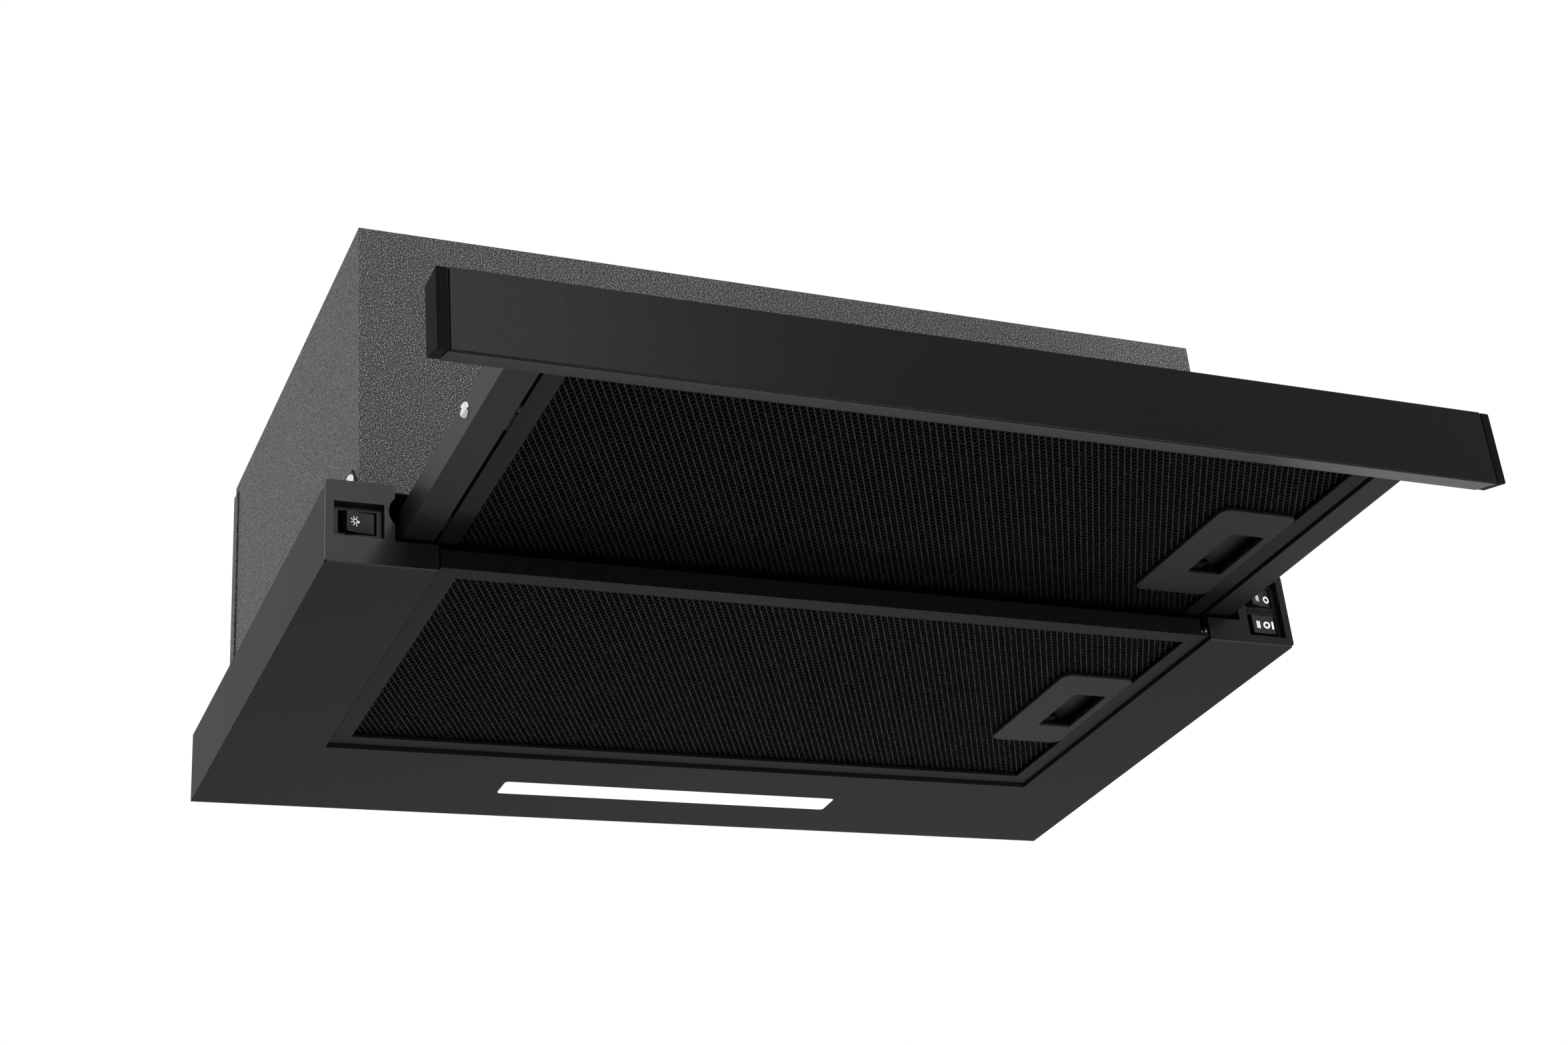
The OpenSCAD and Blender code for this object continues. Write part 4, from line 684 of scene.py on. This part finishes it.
def lamp_sign(size):
    """A bulb on its side: glass and rays to the left, base to the right, drawn upright and then turned."""
    faces = ring(0.34 * size, 0.11 * size, 20)
    faces += bar(-0.15 * size, -0.58 * size, 0.15 * size, -0.36 * size)
    rays, apart = 6, 44
    half_wide, inner, outer = 0.055 * size, 0.44 * size, 0.70 * size
    for k in range(rays):
        angle = math.radians(90 + (k - (rays - 1) / 2) * apart)
        c, s = math.cos(angle), math.sin(angle)
        faces.append([(inner * c - half_wide * s, inner * s + half_wide * c),
                      (inner * c + half_wide * s, inner * s - half_wide * c),
                      (outer * c + half_wide * s, outer * s - half_wide * c),
                      (outer * c - half_wide * s, outer * s + half_wide * c)])
    return [[(-y, x) for x, y in face] for face in faces]


def strokes(count, tall, pitch, wide):
    """The faces of some upright strokes side by side."""
    faces = []
    for k in range(count):
        x = (k - (count - 1) / 2) * pitch
        faces += bar(x - wide / 2, -tall / 2, x + wide / 2, tall / 2)
    return faces


def print_sign(name, body, place, faces, along, up):
    """A thin print laid on a half of a rocker's face, centred at (along, up)."""
    work = bmesh.new()
    for corners in faces:
        work.faces.new([work.verts.new(place(along + x, up + y)) for x, y in corners])
    bmesh.ops.remove_doubles(work, verts=work.verts, dist=1e-6)
    bmesh.ops.recalc_face_normals(work, faces=work.faces)
    out = place(0, 0, 1.0) - place(0, 0, 0.0)
    if sum((face.normal.dot(out) for face in work.faces)) < 0:
        bmesh.ops.reverse_faces(work, faces=work.faces)
    mesh = bpy.data.meshes.new(name)
    work.to_mesh(mesh)
    work.free()
    return piece_from(mesh, name, "print", body)


light_left = facet(-WINDOW_X, LIGHT_Z, TIP, -1)
boost_right = facet(WINDOW_X, BOOST_Z, TIP, 1)
boost_left = facet(WINDOW_X, BOOST_Z, TIP, -1)
speed_right = facet(WINDOW_X, SPEED_Z, 0.0, 1)
speed_left = facet(WINDOW_X, SPEED_Z, 0.0, -1)
print_sign("light_sign", "light_button", light_left, lamp_sign(3.5), -2.5, 0.0)
print_sign("boost_sign_on", "boost_button", boost_left, strokes(3, 3.4, 0.95, 0.5), -2.4, -1.0)
print_sign("boost_sign_off", "boost_button", boost_right, ring(OFF_RADIUS, OFF_WIDTH), 4.1, -1.0)
print_sign("speed_sign_two", "speed_button", speed_left, strokes(2, 4.0, 1.25, 0.95), -3.1, -0.25)
print_sign("speed_sign_off", "speed_button", speed_right, ring(OFF_RADIUS, OFF_WIDTH), 2.0, -0.2)
print_sign("speed_sign_one", "speed_button", speed_right, strokes(1, 4.2, 0.9, 1.1), 5.4, -0.3)


# ---- floor, light and camera

# The floor, in metres: half of its side, and its height
FLOOR_HALF = 6.0
FLOOR_Z = -1.35
# The world's strength as plain light, and as it is seen by the camera, by gloss and through glass
LIGHT_LEVEL = (0.68, 0.68, 0.68, 1.0)
SEEN_LEVEL = (1.0, 1.0, 1.0, 1.0)
# Lamps: name, direction from the hood, distance and diameter in metres, power in watts
LAMPS = (
    ("softbox behind left", (-0.85, 0.42, 0.35), 2.0, 1.4, 0.6),
    ("softbox in front", (0.02, -0.89, 0.40), 2.0, 0.8, 12.0),
    ("softbox below", (0.30, 0.74, -0.58), 2.1, 0.25, 0.9),
    ("softbox low in front", (0.42, -0.50, -0.76), 1.4, 0.60, 12.0),
)
LAMPS_AIM = (0.0, 0.0, 0.08)


def studio_ground():
    """The pale floor under the hood."""
    work = bmesh.new()
    corners = ((-1, -1), (1, -1), (1, 1), (-1, 1))
    work.faces.new([work.verts.new((x * FLOOR_HALF, y * FLOOR_HALF, FLOOR_Z)) for x, y in corners])
    mesh = bpy.data.meshes.new("studio_floor")
    work.to_mesh(mesh)
    work.free()
    mesh.materials.append(finishes["floor"])
    floor = bpy.data.objects.new("studio_floor", mesh)
    bpy.context.scene.collection.objects.link(floor)


def surroundings():
    """White surroundings for the camera, gloss and glass, and a plain soft light for the rest."""
    world = bpy.data.worlds.new("studio")
    world.use_nodes = True
    bpy.context.scene.world = world
    tree = world.node_tree
    path = tree.nodes.new("ShaderNodeLightPath")
    seen = path.outputs["Is Camera Ray"]
    for ray in ("Is Glossy Ray", "Is Transmission Ray"):
        either = tree.nodes.new("ShaderNodeMath")
        either.operation = "MAXIMUM"
        tree.links.new(seen, either.inputs[0])
        tree.links.new(path.outputs[ray], either.inputs[1])
        seen = either.outputs[0]
    pick = tree.nodes.new("ShaderNodeMix")
    pick.data_type = "RGBA"
    pick.inputs[MIX_A].default_value = LIGHT_LEVEL
    pick.inputs[MIX_B].default_value = SEEN_LEVEL
    tree.links.new(seen, pick.inputs["Factor"])
    tree.links.new(pick.outputs[MIX_RESULT], tree.nodes["Background"].inputs["Color"])


def softboxes():
    """Round softboxes turned towards the hood, which the camera doesn't see."""
    aim = Vector(LAMPS_AIM)
    for name, towards, away, size, power in LAMPS:
        lamp = bpy.data.lights.new(name, "AREA")
        lamp.shape = "DISK"
        lamp.size = size
        lamp.energy = power
        thing = bpy.data.objects.new(name, lamp)
        thing.location = aim + Vector(towards).normalized() * away
        thing.rotation_euler = (aim - thing.location).to_track_quat("-Z", "Y").to_euler()
        thing.visible_camera = False
        bpy.context.scene.collection.objects.link(thing)


# The camera as solved from the object's straight edges: the frame, the focal length and the optical centre
# in pixels of the photograph, its place on the hood, and the directions to its right, down and ahead
FRAME_W = 2352.0
FRAME_H = 1568.0
FOCAL = 3704.63
OPTICAL_X = 1371.03
OPTICAL_Y = 539.80
CAMERA_AT = (-475.21, -956.92, -478.76)
CAMERA_RIGHT = (0.9001045, -0.4210280, -0.1120147)
CAMERA_DOWN = (0.1228525, 0.4919545, -0.8619095)
CAMERA_AHEAD = (0.4179942, 0.7620474, 0.4945348)
SENSOR_W = 36.0


def camera():
    """The camera in the photograph's place."""
    data = bpy.data.cameras.new("camera")
    data.sensor_fit = "HORIZONTAL"
    data.sensor_width = SENSOR_W
    data.lens = FOCAL / FRAME_W * SENSOR_W
    data.shift_x = (FRAME_W / 2 - OPTICAL_X) / FRAME_W
    data.shift_y = (OPTICAL_Y - FRAME_H / 2) / FRAME_W
    data.clip_start = 0.01
    data.clip_end = 50.0
    thing = bpy.data.objects.new("camera", data)
    turn = Matrix((Vector(CAMERA_RIGHT), -Vector(CAMERA_DOWN), -Vector(CAMERA_AHEAD))).transposed().to_4x4()
    thing.matrix_world = Matrix.Translation(at(*CAMERA_AT)) @ turn
    bpy.context.scene.collection.objects.link(thing)
    bpy.context.scene.camera = thing


studio_ground()
surroundings()
softboxes()
camera()
bpy.context.scene.view_settings.view_transform = "Standard"
